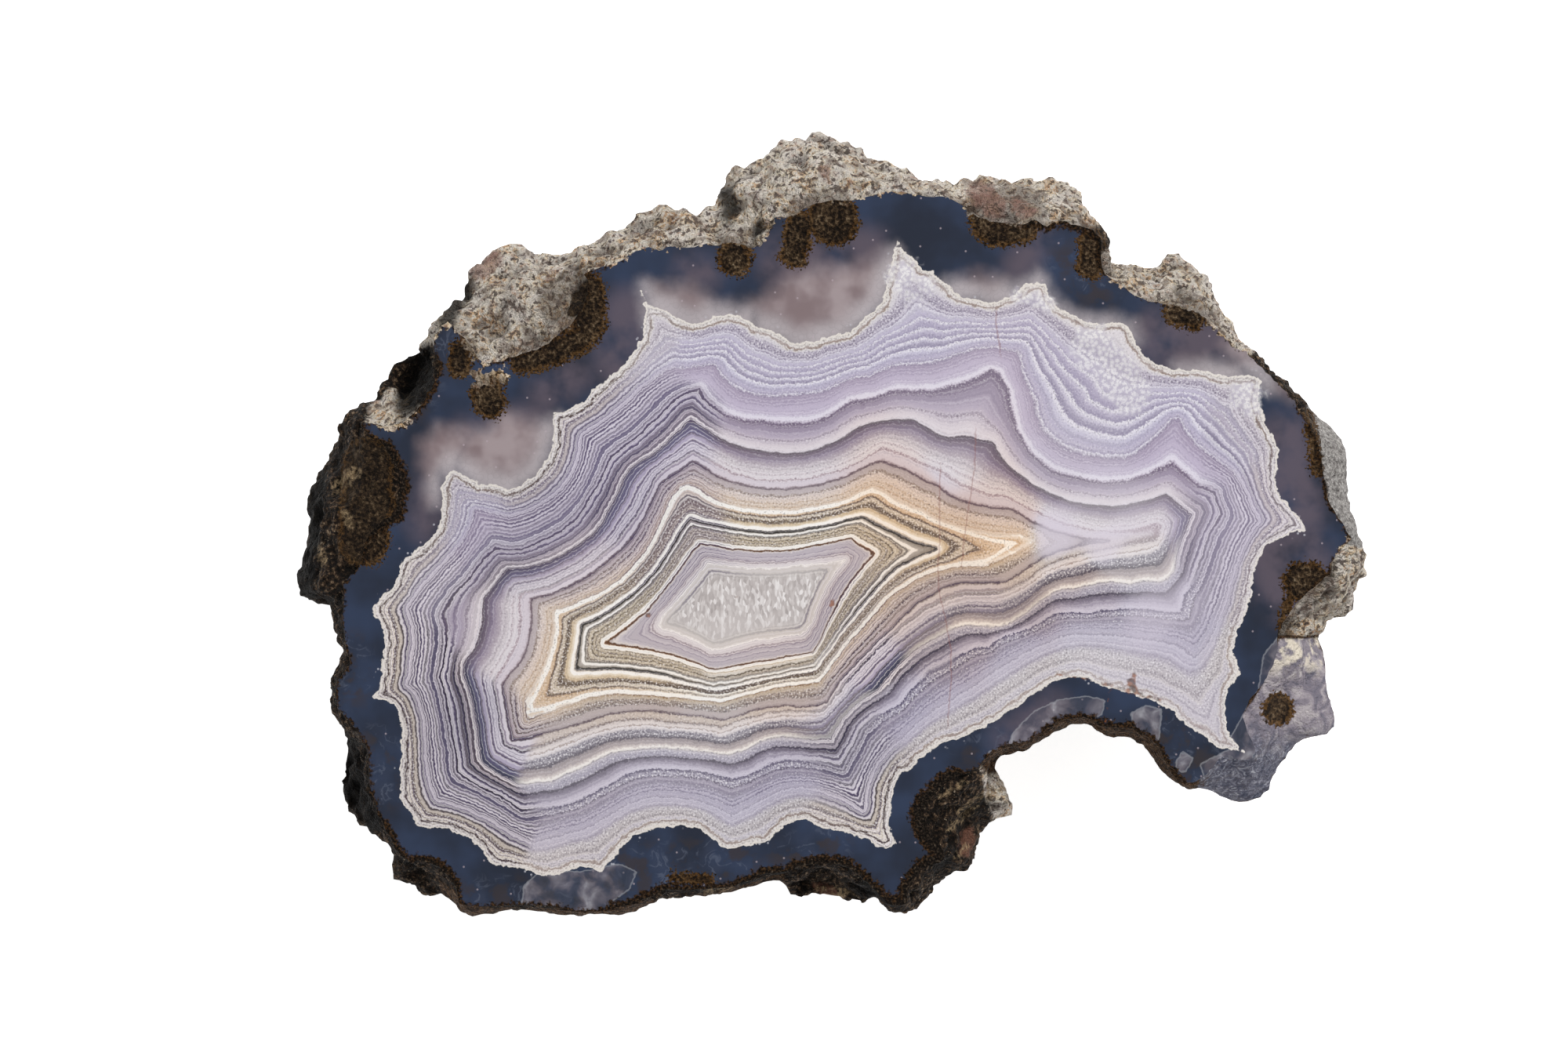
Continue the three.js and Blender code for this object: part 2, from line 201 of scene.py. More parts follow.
def read_vertices(mesh, what):
    flat = np.zeros(len(mesh.vertices) * 3, np.float32)
    mesh.vertices.foreach_get(what, flat)
    return flat.reshape(-1, 3).astype(float)


def write_attribute(mesh, name, values):
    attribute = mesh.attributes.new(name, "FLOAT", "POINT")
    attribute.data.foreach_set("value", np.asarray(values, np.float32))


def ring_in_photo(ring):
    """The outline, in pixels of the photograph, that a ring of vertices makes."""
    return [(v.co.x / PIXEL + ORIGIN_PIXEL[0], ORIGIN_PIXEL[1] - v.co.y / PIXEL) for v in ring]


def ring_round(borders):
    """The vertices of a ring of edges, in order."""
    neighbours = {}
    for edge in borders:
        a, b = edge.verts
        neighbours.setdefault(a, []).append(b)
        neighbours.setdefault(b, []).append(a)
    start = min(neighbours, key=lambda vertex: vertex.co.x)
    ring, before, here = [start], start, neighbours[start][0]
    while here is not start:
        ring.append(here)
        onward = [vertex for vertex in neighbours[here] if vertex is not before]
        before, here = here, onward[0]
    return ring


solid = bmesh.new()
solid.from_mesh(CAD_STONE.data)
bmesh.ops.remove_doubles(solid, verts=solid.verts, dist=1e-6)
level = {f for f in solid.faces if all(v.co.z > FACE_HEIGHT - 2e-5 for v in f.verts)}
edge_ring = ring_round([e for e in solid.edges if sum(f in level for f in e.link_faces) == 1])
FACE_EDGE = ring_in_photo(edge_ring)

bpy.ops.object.select_all(action="DESELECT")
stone = bpy.data.objects.new("laguna_agate", bpy.data.meshes.new("laguna_agate"))
solid.to_mesh(stone.data)
solid.free()
bpy.context.scene.collection.objects.link(stone)
bpy.context.view_layer.objects.active = stone
stone.select_set(True)
remesh = stone.modifiers.new("fine_grid", "REMESH")
remesh.mode = "VOXEL"
remesh.voxel_size = BACK_MESH
bpy.ops.object.modifier_apply(modifier=remesh.name)

work = bmesh.new()
work.from_mesh(stone.data)
spots = np.array([v.co[:] for v in work.verts])
beside = -depth_inside(*in_photo(spots), FACE_EDGE) * PIXEL
in_sight = (beside > -0.0008) & (spots[:, 2] > FACE_HEIGHT - SHOULDER_DEPTH)
in_sight &= np.array([v.normal.z for v in work.verts]) > -0.1
finer = [e for e in work.edges if in_sight[e.verts[0].index] and in_sight[e.verts[1].index]]
bmesh.ops.subdivide_edges(work, edges=finer, cuts=1, use_grid_fill=True)
bmesh.ops.triangulate(work, faces=[f for f in work.faces if len(f.verts) > 4])
work.to_mesh(stone.data)
work.free()

spots = read_vertices(stone.data, "co")
outward = read_vertices(stone.data, "normal")
x, y = in_photo(spots)
beside = -depth_inside(x, y, FACE_EDGE) * PIXEL
shoulder = rise(spots[:, 2], FACE_HEIGHT - 0.014, FACE_HEIGHT - 0.010)
broad = np.array([noise.noise(Vector(spot) * 75) for spot in spots])
mottled = rise(broad, -0.12, 0.10)
pale = rise(deepest_inside(x, y, HOST_ROCK), -17, -5) * shoulder + mottled * (1 - shoulder)
# painted shadow: how far inside those outlines, on the shoulder
hollow = rise(deepest_inside(x, y, PAINTED_SHADOW_OUTLINES), -5, 7) * shoulder
high = rise(spots[:, 2], 0.012, 0.020)
glassy = rise(deepest_inside(x, y, BROKEN_CORNER), -6, 6) * high
glassy = np.maximum(glassy, rise(deepest_inside(x, y, BAY_EDGE), -6, 6) * high * 0.5)
shelf = rise(deepest_inside(x, y, GREY_SHELF), -6, 6) * high
relief = np.zeros(len(spots))
for i, spot in enumerate(spots):
    p = Vector(spot) * 1000
    lumps = noise.noise(p / 2.8)
    pits = noise.noise(p / 1.1 + Vector((9, 2, 5)))
    grains = 0.5 - noise.voronoi(p / 0.85)[0][0]
    knobs = 0.42 - noise.voronoi(p / 2.3 + Vector((4, 1, 3)))[0][0]
    rock = 0.50 * grains + 0.40 * pits + 1.20 * min(lumps, 0.10) + 0.85 * min(knobs, 0.2)
    crust = 0.60 * min(pits, 0.2) + 1.10 * min(lumps, 0.08) + 0.45 * grains
    facets = 0.6 * noise.voronoi(p / 3.6)[0][0] - 0.3 + 0.06 * pits
    relief[i] = (rock * pale[i] + crust * (1 - pale[i])) * (1 - glassy[i]) + facets * glassy[i]
# the relief before scaling, kept for the rind's finish, which paints shade in the pits and light on the peaks
# with it
painted_shade_field = relief.copy()
relief *= rise(spots[:, 2], 0.0002, 0.002) * (1 - 0.5 * shelf)
relief[(beside < 0) & (spots[:, 2] > FACE_HEIGHT - CREST_DEPTH)] = 0
spots += outward * relief[:, None] * RELIEF_HEIGHT
ragged = np.array([noise.noise(Vector(spot) * 1300) for spot in spots]) * EDGE_RAGGEDNESS
slope = FACE_HEIGHT - CUT_DEPTH - EDGE_SLOPE * (beside + ragged)
near_top = (spots[:, 2] > FACE_HEIGHT - 0.0030) & (beside > -EDGE_REACH)
held_down = np.minimum(spots[:, 2], np.clip(slope, FACE_HEIGHT - CREST_DEPTH, FACE_HEIGHT))
spots[:, 2] = np.maximum(np.where(near_top, held_down, spots[:, 2]), 0)
stone.data.vertices.foreach_set("co", spots.astype(np.float32).ravel())
for name, values in (
    ("pale", pale), ("glassy", glassy), ("shelf", shelf), ("relief", painted_shade_field), ("hollow", hollow),
    ("upward", outward[:, 2]),
):
    write_attribute(stone.data, name, values)
stone.data.update()


# The banding: chalcedony grew inwards layer by layer and follows every fold of the wall, so its bands
# are told by a few growth lines, each listed as pixels of the photograph, and the depth between them.
GROWTH_LINES = [
    (0, "white skin", """
    477,772 487,762 497,752 505,742 510,728 513,715 520,708 530,703 540,695 548,688 556,677 561,668 563,650
    565,635 563,622 570,608 578,598 590,603 600,611 612,617 625,618 640,621 650,625 662,620 672,613 682,606
    690,598 697,588 702,578 706,565 707,548 705,535 706,527 722,524 735,519 748,510 757,497 775,482 790,470
    800,460 812,445 820,430 822,412 823,398 818,385 818,372 826,388 840,392 852,398 862,405 880,413 895,411
    910,404 930,401 945,403 955,410 965,417 975,420 985,421 995,427 1005,436 1020,438 1035,437 1050,431
    1065,428 1080,425 1092,416 1103,405 1115,396 1125,385 1132,360 1138,330 1145,306 1155,322 1165,333
    1178,343 1190,348 1200,357 1217,372 1225,378 1240,380 1255,385 1265,387 1275,383 1285,380 1300,370
    1310,362 1325,360 1333,365 1338,375 1345,387 1355,395 1370,403 1385,410 1400,412 1415,412 1425,410
    1435,415 1443,425 1450,440 1458,450 1465,458 1478,466 1495,471 1515,472 1535,472 1545,476 1560,480
    1590,478 1603,480 1609,487 1605,500 1606,515 1610,530 1617,545 1625,560 1630,573 1628,590 1627,610
    1628,622 1634,635 1645,647 1652,655 1660,668 1668,676 1655,677 1645,680 1635,686 1622,693 1612,702
    1605,712 1602,722 1600,735 1597,750 1594,765 1590,780 1585,793 1578,805 1575,820 1573,832 1576,845
    1583,856 1575,868 1567,878 1563,895 1563,910 1565,925 1570,940 1578,950 1587,959 1571,957 1555,953
    1545,946 1535,937 1522,930 1512,925 1505,918 1497,908 1485,900 1465,891 1450,887 1437,882 1425,879
    1410,876 1400,872 1388,867 1375,863 1362,864 1352,867 1343,872 1333,876 1322,883 1302,898 1290,905
    1280,913 1265,922 1250,930 1240,933 1225,942 1205,947 1190,955 1175,966 1158,983 1150,985 1143,998
    1138,1010 1137,1025 1135,1040 1135,1055 1140,1068 1143,1075 1130,1084 1120,1080 1110,1073 1095,1068
    1085,1063 1070,1060 1055,1057 1045,1052 1035,1048 1022,1045 1010,1047 1000,1053 990,1062 982,1071
    975,1075 960,1077 948,1080 930,1084 922,1080 915,1075 905,1068 895,1060 885,1056 870,1054 850,1055
    835,1057 825,1060 812,1065 800,1073 790,1085 780,1097 772,1108 765,1111 755,1107 740,1106 725,1110
    712,1115 697,1118 688,1115 675,1110 660,1107 645,1105 633,1104 625,1098 618,1088 610,1078 600,1071
    590,1066 580,1062 570,1057 545,1055 532,1054 528,1045 523,1035 515,1028 510,1018 511,1005 510,985
    512,970 512,935 511,920 507,908 502,900 493,893 477,889 483,880 484,868 487,858 487,845 488,832 491,817
    489,805 485,795 478,785
    """),
    (1, "first lilac band", """
    862,470 880,470 905,466 912,467 918,478 930,490 945,500 965,506 990,507 1010,505 1030,503 1050,500
    1065,494 1080,487 1092,482 1110,481 1125,474 1140,467 1160,466 1185,466 1205,461 1225,453 1245,446
    1265,444 1280,447 1297,449 1301,462 1304,480 1311,495 1318,510 1319,525 1326,545 1340,562 1360,575
    1385,582 1410,586 1435,586 1450,580 1465,568 1480,553 1495,537 1503,534 1510,550 1525,568 1540,580
    1558,592 1572,602 1583,618 1592,640 1604,664 1592,682 1583,700 1575,720 1567,745 1560,770 1553,790
    1545,808 1536,824 1524,836 1500,818 1480,814 1460,812 1440,809 1420,807 1400,806 1380,806 1355,809
    1335,817 1315,826 1300,834 1285,843 1270,852 1250,866 1230,879 1210,892 1190,904 1175,915 1160,930
    1145,943 1130,957 1120,970 1112,985 1106,1000 1103,1015 1101,1032 1085,1022 1070,1014 1055,1008
    1040,1004 1020,1002 1000,1005 985,1011 970,1018 952,1028 933,1038 915,1029 900,1022 880,1017 860,1015
    840,1014 820,1017 800,1024 785,1032 770,1042 755,1050 740,1056 720,1062 700,1067 680,1074 660,1063
    640,1052 620,1041 600,1031 580,1024 558,1018 551,1000 547,980 545,950 542,920 538,900 532,884 521,874
    525,860 527,840 530,820 528,800 524,787 521,777 528,765 536,753 546,743 556,732 567,720 580,706 592,690
    600,675 604,662 606,650 625,655 650,660 668,656 690,645 705,635 720,622 730,608 737,590 741,572 743,556
    755,548 770,538 785,528 800,515 815,500 828,489 840,480 850,474
    """),
    (2, "lilac edge", """
    880,497 893,495 897,505 910,518 922,527 935,533 950,537 970,537 990,540 1010,541 1030,540 1045,537
    1060,530 1075,520 1085,512 1100,511 1115,508 1130,502 1145,498 1165,500 1190,499 1210,494 1235,487
    1250,480 1264,472 1275,478 1282,490 1287,500 1288,515 1292,532 1297,548 1305,562 1315,578 1330,592
    1345,602 1365,608 1385,612 1410,615 1435,614 1455,608 1475,600 1496,590 1505,600 1520,612 1530,620
    1543,623 1552,628 1555,640 1560,656 1555,665 1545,680 1540,695 1535,710 1530,725 1520,745 1510,760
    1506,781 1490,781 1470,778 1445,776 1425,777 1405,779 1390,782 1355,781 1345,783 1330,793 1315,800
    1300,806 1285,810 1270,817 1262,825 1245,825 1230,832 1220,838 1200,850 1185,857 1175,868 1160,882
    1150,897 1135,905 1115,915 1100,930 1090,950 1082,965 1074,980 1055,975 1040,972 1020,970 1000,970
    985,973 970,980 955,988 934,994 915,988 900,985 880,983 860,981 840,980 820,982 800,987 790,993 775,1003
    760,1010 740,1020 720,1027 700,1030 680,1033 665,1036 650,1025 635,1015 620,1008 605,1000 590,992
    582,985 580,960 575,935 570,905 565,880 560,862 565,840 568,820 568,800 563,784 570,770 578,757 590,745
    605,728 618,710 632,698 650,700 665,700 680,693 700,685 720,673 735,660 745,645 755,628 765,610 772,595
    778,582 790,572 805,562 820,548 835,535 848,520 860,508
    """),
    (3, "double dark line", """
    881,535 895,545 912,556 930,565 955,574 980,578 1003,580 1025,578 1045,573 1065,565 1085,553 1097,545
    1110,541 1125,538 1140,536 1165,537 1180,545 1195,555 1210,560 1235,558 1250,562 1265,565 1272,578
    1285,593 1300,606 1318,619 1340,631 1365,640 1390,645 1415,647 1440,645 1460,640 1475,635 1487,631
    1500,642 1512,651 1520,656 1515,668 1508,685 1503,700 1500,715 1498,727 1490,738 1482,741 1460,741
    1440,744 1420,742 1400,743 1385,747 1372,751 1355,751 1340,757 1325,767 1310,781 1297,790 1285,797
    1268,800 1250,798 1235,797 1220,800 1205,807 1190,815 1175,824 1160,836 1145,848 1135,860 1125,872
    1120,880 1110,886 1100,892 1085,905 1075,915 1065,930 1060,943 1040,944 1020,942 1000,940 980,942
    965,948 950,957 932,963 915,961 900,958 880,957 860,955 840,954 820,955 800,957 780,960 765,967 750,975
    735,982 720,989 705,996 690,997 675,999 660,1000 645,992 630,983 619,976 613,969 611,955 609,930 605,902
    599,880 591,862 592,848 597,838 607,826 613,812 616,797 617,780 617,763 625,755 632,745 640,735 648,726
    665,725 685,722 700,716 720,707 740,695 755,683 768,667 775,655 783,640 790,625 797,610 805,598 820,588
    835,578 850,566 860,555 870,545
    """),
    (3.73, "dotted line", """
    884,576 900,584 920,596 940,605 960,611 985,613 1010,612 1030,610 1050,606 1070,600 1090,592 1110,581
    1126,571 1140,576 1160,582 1175,590 1190,596 1200,600 1210,607 1222,615 1235,621 1248,627 1262,631
    1280,631 1300,642 1320,651 1340,661 1360,668 1380,673 1400,677 1420,678 1440,676 1460,672 1475,667
    1481,671 1478,683 1474,690 1450,693 1430,697 1410,700 1390,704 1370,710 1350,716 1335,722 1320,732
    1305,743 1290,751 1270,755 1250,755 1230,756 1210,761 1195,768 1180,776 1165,787 1150,798 1135,811
    1120,826 1105,841 1090,856 1078,871 1066,886 1055,900 1048,906 1020,907 1000,907 980,909 960,915 940,921
    920,928 900,925 870,922 848,921 830,918 810,918 790,920 771,924 745,932 720,941 690,952 665,957 650,952
    644,948 641,935 638,920 635,900 633,885 629,871 645,845 655,828 662,810 664,790 662,770 663,757 680,754
    700,749 715,742 730,734 745,725 760,715 775,703 790,688 800,673 810,660 820,645 828,628 834,614 840,606
    850,596 860,590 875,583
    """),
    (4, "violet line", """
    678,763 700,760 720,752 740,742 760,730 780,713 800,695 812,680 822,662 830,645 838,628 842,620 855,610
    870,600 884,590 895,597 910,606 930,615 955,621 980,625 1000,625 1020,623 1040,620 1060,615 1080,608
    1100,598 1124,589 1140,596 1150,598 1165,606 1180,615 1195,620 1210,632 1225,640 1245,645 1265,648
    1285,650 1300,656 1320,668 1340,678 1360,683 1380,688 1415,690 1390,693 1370,697 1350,702 1330,710
    1315,720 1300,732 1285,740 1270,742 1250,742 1225,742 1205,748 1190,757 1170,768 1155,782 1140,798
    1125,812 1110,828 1095,842 1080,858 1068,872 1055,895 1040,900 1020,902 1000,900 980,902 960,905 945,912
    925,917 905,915 880,912 860,909 840,907 820,906 800,907 780,910 760,915 740,922 720,928 700,933 680,938
    654,945 650,925 647,905 643,885 641,875 650,862 665,845 672,830 677,810 679,790 678,775
    """),
    (5, "cream line", """
    673,918 670,895 685,870 698,845 705,820 708,800 707,785 710,778 730,772 750,763 770,753 790,740 805,725
    820,708 832,690 840,672 848,655 855,640 862,630 868,621 878,618 890,623 900,631 915,639 930,644 950,649
    975,651 1000,651 1020,650 1040,647 1060,643 1080,637 1097,629 1112,622 1125,627 1140,637 1155,644
    1175,652 1190,660 1205,667 1220,671 1240,676 1262,681 1285,683 1300,683 1318,689 1308,698 1290,706
    1275,715 1260,722 1235,722 1210,724 1190,730 1170,738 1150,750 1135,762 1120,777 1105,795 1090,810
    1078,825 1065,842 1052,860 1045,870 1020,873 1000,875 975,880 955,885 935,892 918,896 900,893 880,891
    860,889 830,887 800,885 780,885 760,887 740,893 720,900 700,908 680,915
    """),
    (6, "black line", """
    743,798 765,788 785,775 805,760 825,742 840,725 850,708 862,690 872,673 881,662 895,667 920,672 950,677
    980,680 1010,679 1035,675 1060,670 1080,664 1100,660 1115,668 1135,678 1155,688 1180,697 1194,700
    1180,705 1160,715 1145,723 1130,735 1115,752 1100,770 1085,788 1070,808 1058,825 1045,842 1040,850
    1020,854 1000,858 970,864 950,868 930,873 909,875 890,871 870,866 850,861 830,857 800,853 770,852
    735,853 738,835 741,818
    """),
    (7, "brown line", """
    773,820 790,808 810,793 830,775 845,757 858,740 870,722 883,705 893,694 910,697 935,701 960,703 985,704
    1010,702 1035,697 1060,692 1085,687 1100,697 1114,706 1098,725 1085,742 1072,762 1060,785 1050,808
    1043,822 1037,832 1015,836 990,840 965,844 940,849 912,854 895,848 875,840 855,834 830,828 800,824
    """),
    (8, "quartz", """
    903,718 930,722 960,724 990,724 1020,721 1050,718 1078,714 1065,730 1055,745 1047,762 1040,780 1035,795
    1028,805 1020,810 1000,812 975,815 950,820 925,827 908,830 895,822 875,812 860,806 845,803 840,797
    845,785 860,770 875,752 890,735
    """),
]
LEVELS = [level for level, name, outline in GROWTH_LINES]
LINES = [corners_of(outline) for level, name, outline in GROWTH_LINES]


def growth(x, y):
    """The layer each place grew in, its depth inside the white skin in pixels, and layers per pixel."""
    depths = [depth_inside(x, y, line) for line in LINES]
    layer, steep = np.zeros(len(x)), np.full(len(x), 0.02)
    for k, depth in enumerate(depths):
        if k + 1 < len(depths):
            thick = np.maximum(depth + np.maximum(-depths[k + 1], 0), 3)
            step = LEVELS[k + 1] - LEVELS[k]
        else:
            thick, step = np.full(len(x), 60.0), 1
        layer = np.where(depth > 0, LEVELS[k] + step * np.minimum(depth / thick, 1), layer)
        steep = np.where(depth > 0, step / thick, steep)
    return layer, depths[0], steep


# The polished face: one flat sheet of fine triangles, joined to the rind's open edge, where the rind
# slopes down as the edge of a polished slab does.
BAND_STEP = 4.6
RIM_STEP = 6.0

work = bmesh.new()
work.from_mesh(stone.data)
bmesh.ops.bisect_plane(work, geom=work.verts[:] + work.edges[:] + work.faces[:], dist=1e-7,
                       plane_co=(0, 0, FACE_HEIGHT - CUT_DEPTH), plane_no=(0, 0, 1), clear_outer=True)
open_edge = [v for v in work.verts if v.is_boundary]
bmesh.ops.remove_doubles(work, verts=open_edge, dist=0.00009)
borders = [e for e in work.edges if e.is_boundary]
ring = ring_round(borders)
for vertex in ring:
    vertex.co.z = FACE_HEIGHT
work.verts.index_update()
loop = ring_in_photo(ring)

xs, ys = [], []
for step, banded in ((BAND_STEP, True), (RIM_STEP, False)):
    rows = np.arange(120, 1250, step * 0.866)
    for number, row in enumerate(rows):
        columns = np.arange(360 + (number % 2) * step / 2, 1790, step)
        xs.append(columns)
        ys.append(np.full(len(columns), row))
    if banded:
        count = sum(len(part) for part in xs)
x, y = np.concatenate(xs), np.concatenate(ys)
fine = np.arange(len(x)) < count
skin_depth = depth_inside(x, y, LINES[0])
kept = np.where(fine, skin_depth > -10, skin_depth < -10 - RIM_STEP * 0.6)
kept &= depth_inside(x, y, loop) > RIM_STEP * 0.75
for line in LINES:
    kept &= abs(depth_inside(x, y, line)) > BAND_STEP * 0.45
points = [Vector(corner) for corner in loop] + [Vector(corner) for corner in zip(x[kept], y[kept])]
creases = []
for line in LINES:
    first = len(points)
    for start, end in zip(line, line[1:] + line[:1]):
        start, end = Vector(start), Vector(end)
        parts = max(round((end - start).length / BAND_STEP), 1)
        points += [start.lerp(end, part / parts) for part in range(parts)]
    here = list(range(first, len(points)))
    creases += list(zip(here, here[1:] + here[:1]))
turning = sum(ax * by - bx * ay for (ax, ay), (bx, by) in zip(loop, loop[1:] + loop[:1]))
outline = list(range(len(loop)))[::1 if turning > 0 else -1]
sheet = geometry.delaunay_2d_cdt(points, creases, [outline], 1, 1e-4, True)
corner_of = []
for (sx, sy), sources in zip(sheet[0], sheet[3]):
    given = [source for source in sources if source < len(ring)]
    corner_of.append(ring[given[0]] if given else work.verts.new((*on_stone(sx, sy), FACE_HEIGHT)))
middles = np.array([np.mean([sheet[0][k] for k in triangle], axis=0) for triangle in sheet[2]])
beyond = depth_inside(middles[:, 0], middles[:, 1], loop) < 0
for triangle, left_out in zip(sheet[2], beyond):
    if left_out:
        continue
    corners = [corner_of[k] for k in triangle]
    patch = work.faces.new(corners)
    patch.material_index = 1
    patch.normal_update()
    if patch.normal.z < 0:
        patch.normal_flip()
for patch in work.faces:
    patch.smooth = patch.material_index == 0
work.to_mesh(stone.data)
work.free()


# What the polished face shows, each told to the material as an amount at every point of the sheet: how
# stripy, warm or light the bands are, the mossy tufts that grew from the wall, the clear and the hazy
# parts of the dark rim, chips along its edge, and grains of white quartz.
# places on the bands: x, y, share of stripes, warmth, lightness
BAND_NOTES = [
    (530, 920, 1.0, .20, -.15), (600, 920, 1.0, .0, -.28), (545, 830, .75, .25, .0), (600, 800, .35, .1, .0),
    (650, 820, .1, .1, .05), (640, 950, .9, .1, -.12), (600, 1010, .9, .15, -.1), (650, 1070, .8, .2, -.1),
    (560, 740, .6, .15, .05), (600, 660, .4, .0, -.05), (640, 700, .55, .0, -.12), (700, 660, .6, .0, -.12),
    (760, 570, .65, .0, .0), (840, 430, .4, .0, .1), (860, 530, .65, .0, .0), (800, 640, .7, .0, -.12),
    (740, 720, .5, .2, .0), (900, 440, .1, .0, .0), (1000, 480, .0, .0, .0), (1000, 560, .0, .0, .0),
    (1000, 600, .05, .05, .1), (1150, 430, .0, .0, .0), (1200, 520, .0, .05, .05), (1200, 600, .1, .1, .1),
    (1350, 600, .3, .05, .1), (1400, 480, .0, .1, .0), (1500, 560, .1, .0, .0), (1560, 560, .4, .0, .0),
    (1600, 650, .65, -.3, .0), (1540, 690, .6, -.3, .0), (1580, 760, .5, -.3, .0), (1550, 840, .2, .15, .1),
    (1400, 660, .1, .0, .2), (1440, 720, .1, .05, .15), (1400, 820, .0, .0, .12), (1300, 840, .05, .2, .05),
    (1345, 685, .1, -.8, .15), (1410, 690, .1, -.8, .2), (1500, 830, .1, -.2, .05), (1290, 700, .1, 1.2, .0),
    (1300, 870, .1, .1, .12), (1400, 845, .0, -.2, .16), (1520, 890, .1, -.2, .05), (1220, 920, .1, .1, .05),
    (1400, 760, .0, .3, .0), (1470, 790, .0, -.5, .1), (1250, 760, .5, 1.1, -.14), (1200, 820, .4, .8, -.1),
    (1310, 770, .35, 1.0, -.14), (1170, 790, .5, 1.0, -.1), (1370, 735, .1, .7, -.05),
    (1240, 810, .1, .9, -.04), (1290, 655, .2, 1.2, -.05), (1180, 620, .2, 1.2, -.05),
    (1150, 900, .2, .0, .0), (1100, 960, .55, .0, -.1), (1110, 1030, .75, .1, .0), (1090, 900, .5, .1, .0),
    (1000, 1010, .3, .0, .0), (1060, 1050, .5, .2, .0), (930, 1040, .1, .0, .06), (850, 1030, .1, .1, .06),
    (750, 1060, .2, .2, .06), (700, 1090, .2, .3, .1), (850, 970, .1, .0, .08), (700, 980, .2, .0, .08),
    (900, 925, .1, .1, .08), (850, 870, .1, .5, .0), (1000, 870, .3, .6, .0), (1080, 800, .7, .6, -.1),
    (1112, 852, .85, .5, -.05), (700, 850, .2, .4, .0), (860, 690, .8, .2, -.1), (1000, 670, .2, .2, .0),
    (1150, 640, .2, 1.3, -.05), (1225, 665, .2, 1.4, -.1),
]
LOWER_SIDE = [
    "440,985 655,945 760,885 900,862 1040,835 1120,760 1200,725 1415,690 1490,684 1690,676 1690,1010 "
    "1100,1200 440,1200",
]
# strokes from x, y to x, y, with a radius
TUFTS = [
    (468, 590, 464, 690, 34), (475, 640, 470, 640, 30), (588, 448, 586, 468, 16), (622, 503, 624, 513, 23),
    (668, 462, 700, 452, 18), (700, 452, 745, 430, 19), (722, 385, 745, 375, 30), (745, 375, 752, 410, 24),
    (936, 328, 938, 331, 23), (1060, 280, 1064, 282, 33), (1020, 285, 1013, 325, 19),
    (1273, 277, 1293, 277, 38), (1393, 310, 1392, 340, 19), (1500, 398, 1524, 404, 18),
    (1672, 530, 1680, 600, 9), (1662, 742, 1674, 745, 27), (1643, 770, 1636, 800, 8),
    (860, 1118, 905, 1122, 8), (1631, 904, 1631, 906, 22),
]
HAZES = [
    "538,566 560,546 600,550 592,590 576,612 562,604 556,640 548,640",
    "818,362 835,363 860,368 885,366 900,378 915,388 940,392 965,384 965,435 830,425",
    "960,388 985,372 1005,356 1030,345 1060,345 1095,340 1113,332 1126,324 1142,318 1152,335 1130,385 "
    "1090,425 1045,455 960,425",
    "1205,362 1225,356 1245,352 1270,356 1295,364 1310,362 1325,350 1332,358 1335,380 1290,395 1210,378",
    "1330,366 1350,388 1370,400 1395,406 1425,407 1445,414 1450,432 1390,430 1335,402",
    "1500,466 1540,462 1580,466 1590,482 1560,490 1500,478",
    "1562,438 1592,440 1625,476 1650,506 1620,496 1584,468",
    "578,598 584,572 600,552 625,545 640,530 665,534 690,540 712,534 710,560 690,605 650,635 600,620",
]
MAUVES = [
    (1010, 335, 1100, 330, 42), (1640, 700, 1655, 745, 55), (600, 560, 690, 540, 30),
    (1300, 340, 1325, 300, 22), (800, 400, 790, 460, 34), (1480, 430, 1560, 450, 40),
    (1640, 560, 1660, 650, 34), (556, 600, 540, 670, 22), (880, 345, 900, 350, 22), (730, 480, 700, 500, 26),
    (1290, 940, 1340, 905, 24),
]
SMOKES = [
    (800, 1120, 930, 1105, 34), (590, 1150, 660, 1140, 16), (1000, 1095, 1060, 1075, 16),
    (445, 830, 450, 880, 16), (480, 950, 490, 1010, 16), (1480, 940, 1520, 980, 26),
    (1560, 990, 1620, 975, 30), (1240, 960, 1260, 940, 12), (560, 440, 520, 520, 18),
    (1360, 330, 1400, 375, 16), (700, 1140, 760, 1135, 20),
]
SUGARS = [
    (1392, 440, 1440, 500, 26), (1590, 505, 1592, 508, 20), (1148, 352, 1152, 345, 18),
    (1182, 366, 1183, 367, 11), (1160, 380, 1175, 385, 8), (1300, 378, 1340, 388, 9),
]
STONES = [
    (430, 620, 452, 602, 9), (440, 655, 446, 668, 7), (405, 700, 412, 716, 6), (1262, 1014, 1278, 1004, 8),
    (1210, 1060, 1246, 1030, 4), (1204, 1014, 1232, 1000, 4), (1222, 1040, 1246, 1018, 3),
    (900, 1138, 930, 1136, 3), (1222, 1092, 1236, 1080, 4), (520, 505, 510, 520, 6),
    (1046, 1138, 1080, 1142, 6),
]
STAINS = [
    (1446, 860, 1445, 878, 2.5), (1441, 870, 1448, 882, 4), (1346, 860, 1400, 868, 0.6),
    (1404, 871, 1480, 893, 1.8), (1416, 880, 1410, 922, 0.4), (937, 760, 940, 761, 1.5),
    (826, 784, 827, 785, 3), (1062, 768, 1061, 772, 3),
]
CHIPS = [
    "1280,968 1292,935 1318,908 1350,893 1385,888 1410,893 1405,912 1372,925 1340,948 1300,966",
    "1442,910 1462,900 1482,905 1478,945 1462,958 1450,940",
    "1508,958 1522,968 1510,988 1498,976",
    "1530,975 1580,950 1608,975 1600,1010 1560,1020 1540,1000",
    "1248,985 1262,958 1276,955 1272,978",
    "1570,940 1592,900 1610,872 1640,862 1650,900 1610,955 1590,968",
    "1612,835 1636,806 1650,830 1634,870 1605,880",
    "664,1168 668,1130 690,1110 740,1112 790,1102 812,1112 802,1135 780,1150 770,1168",
]
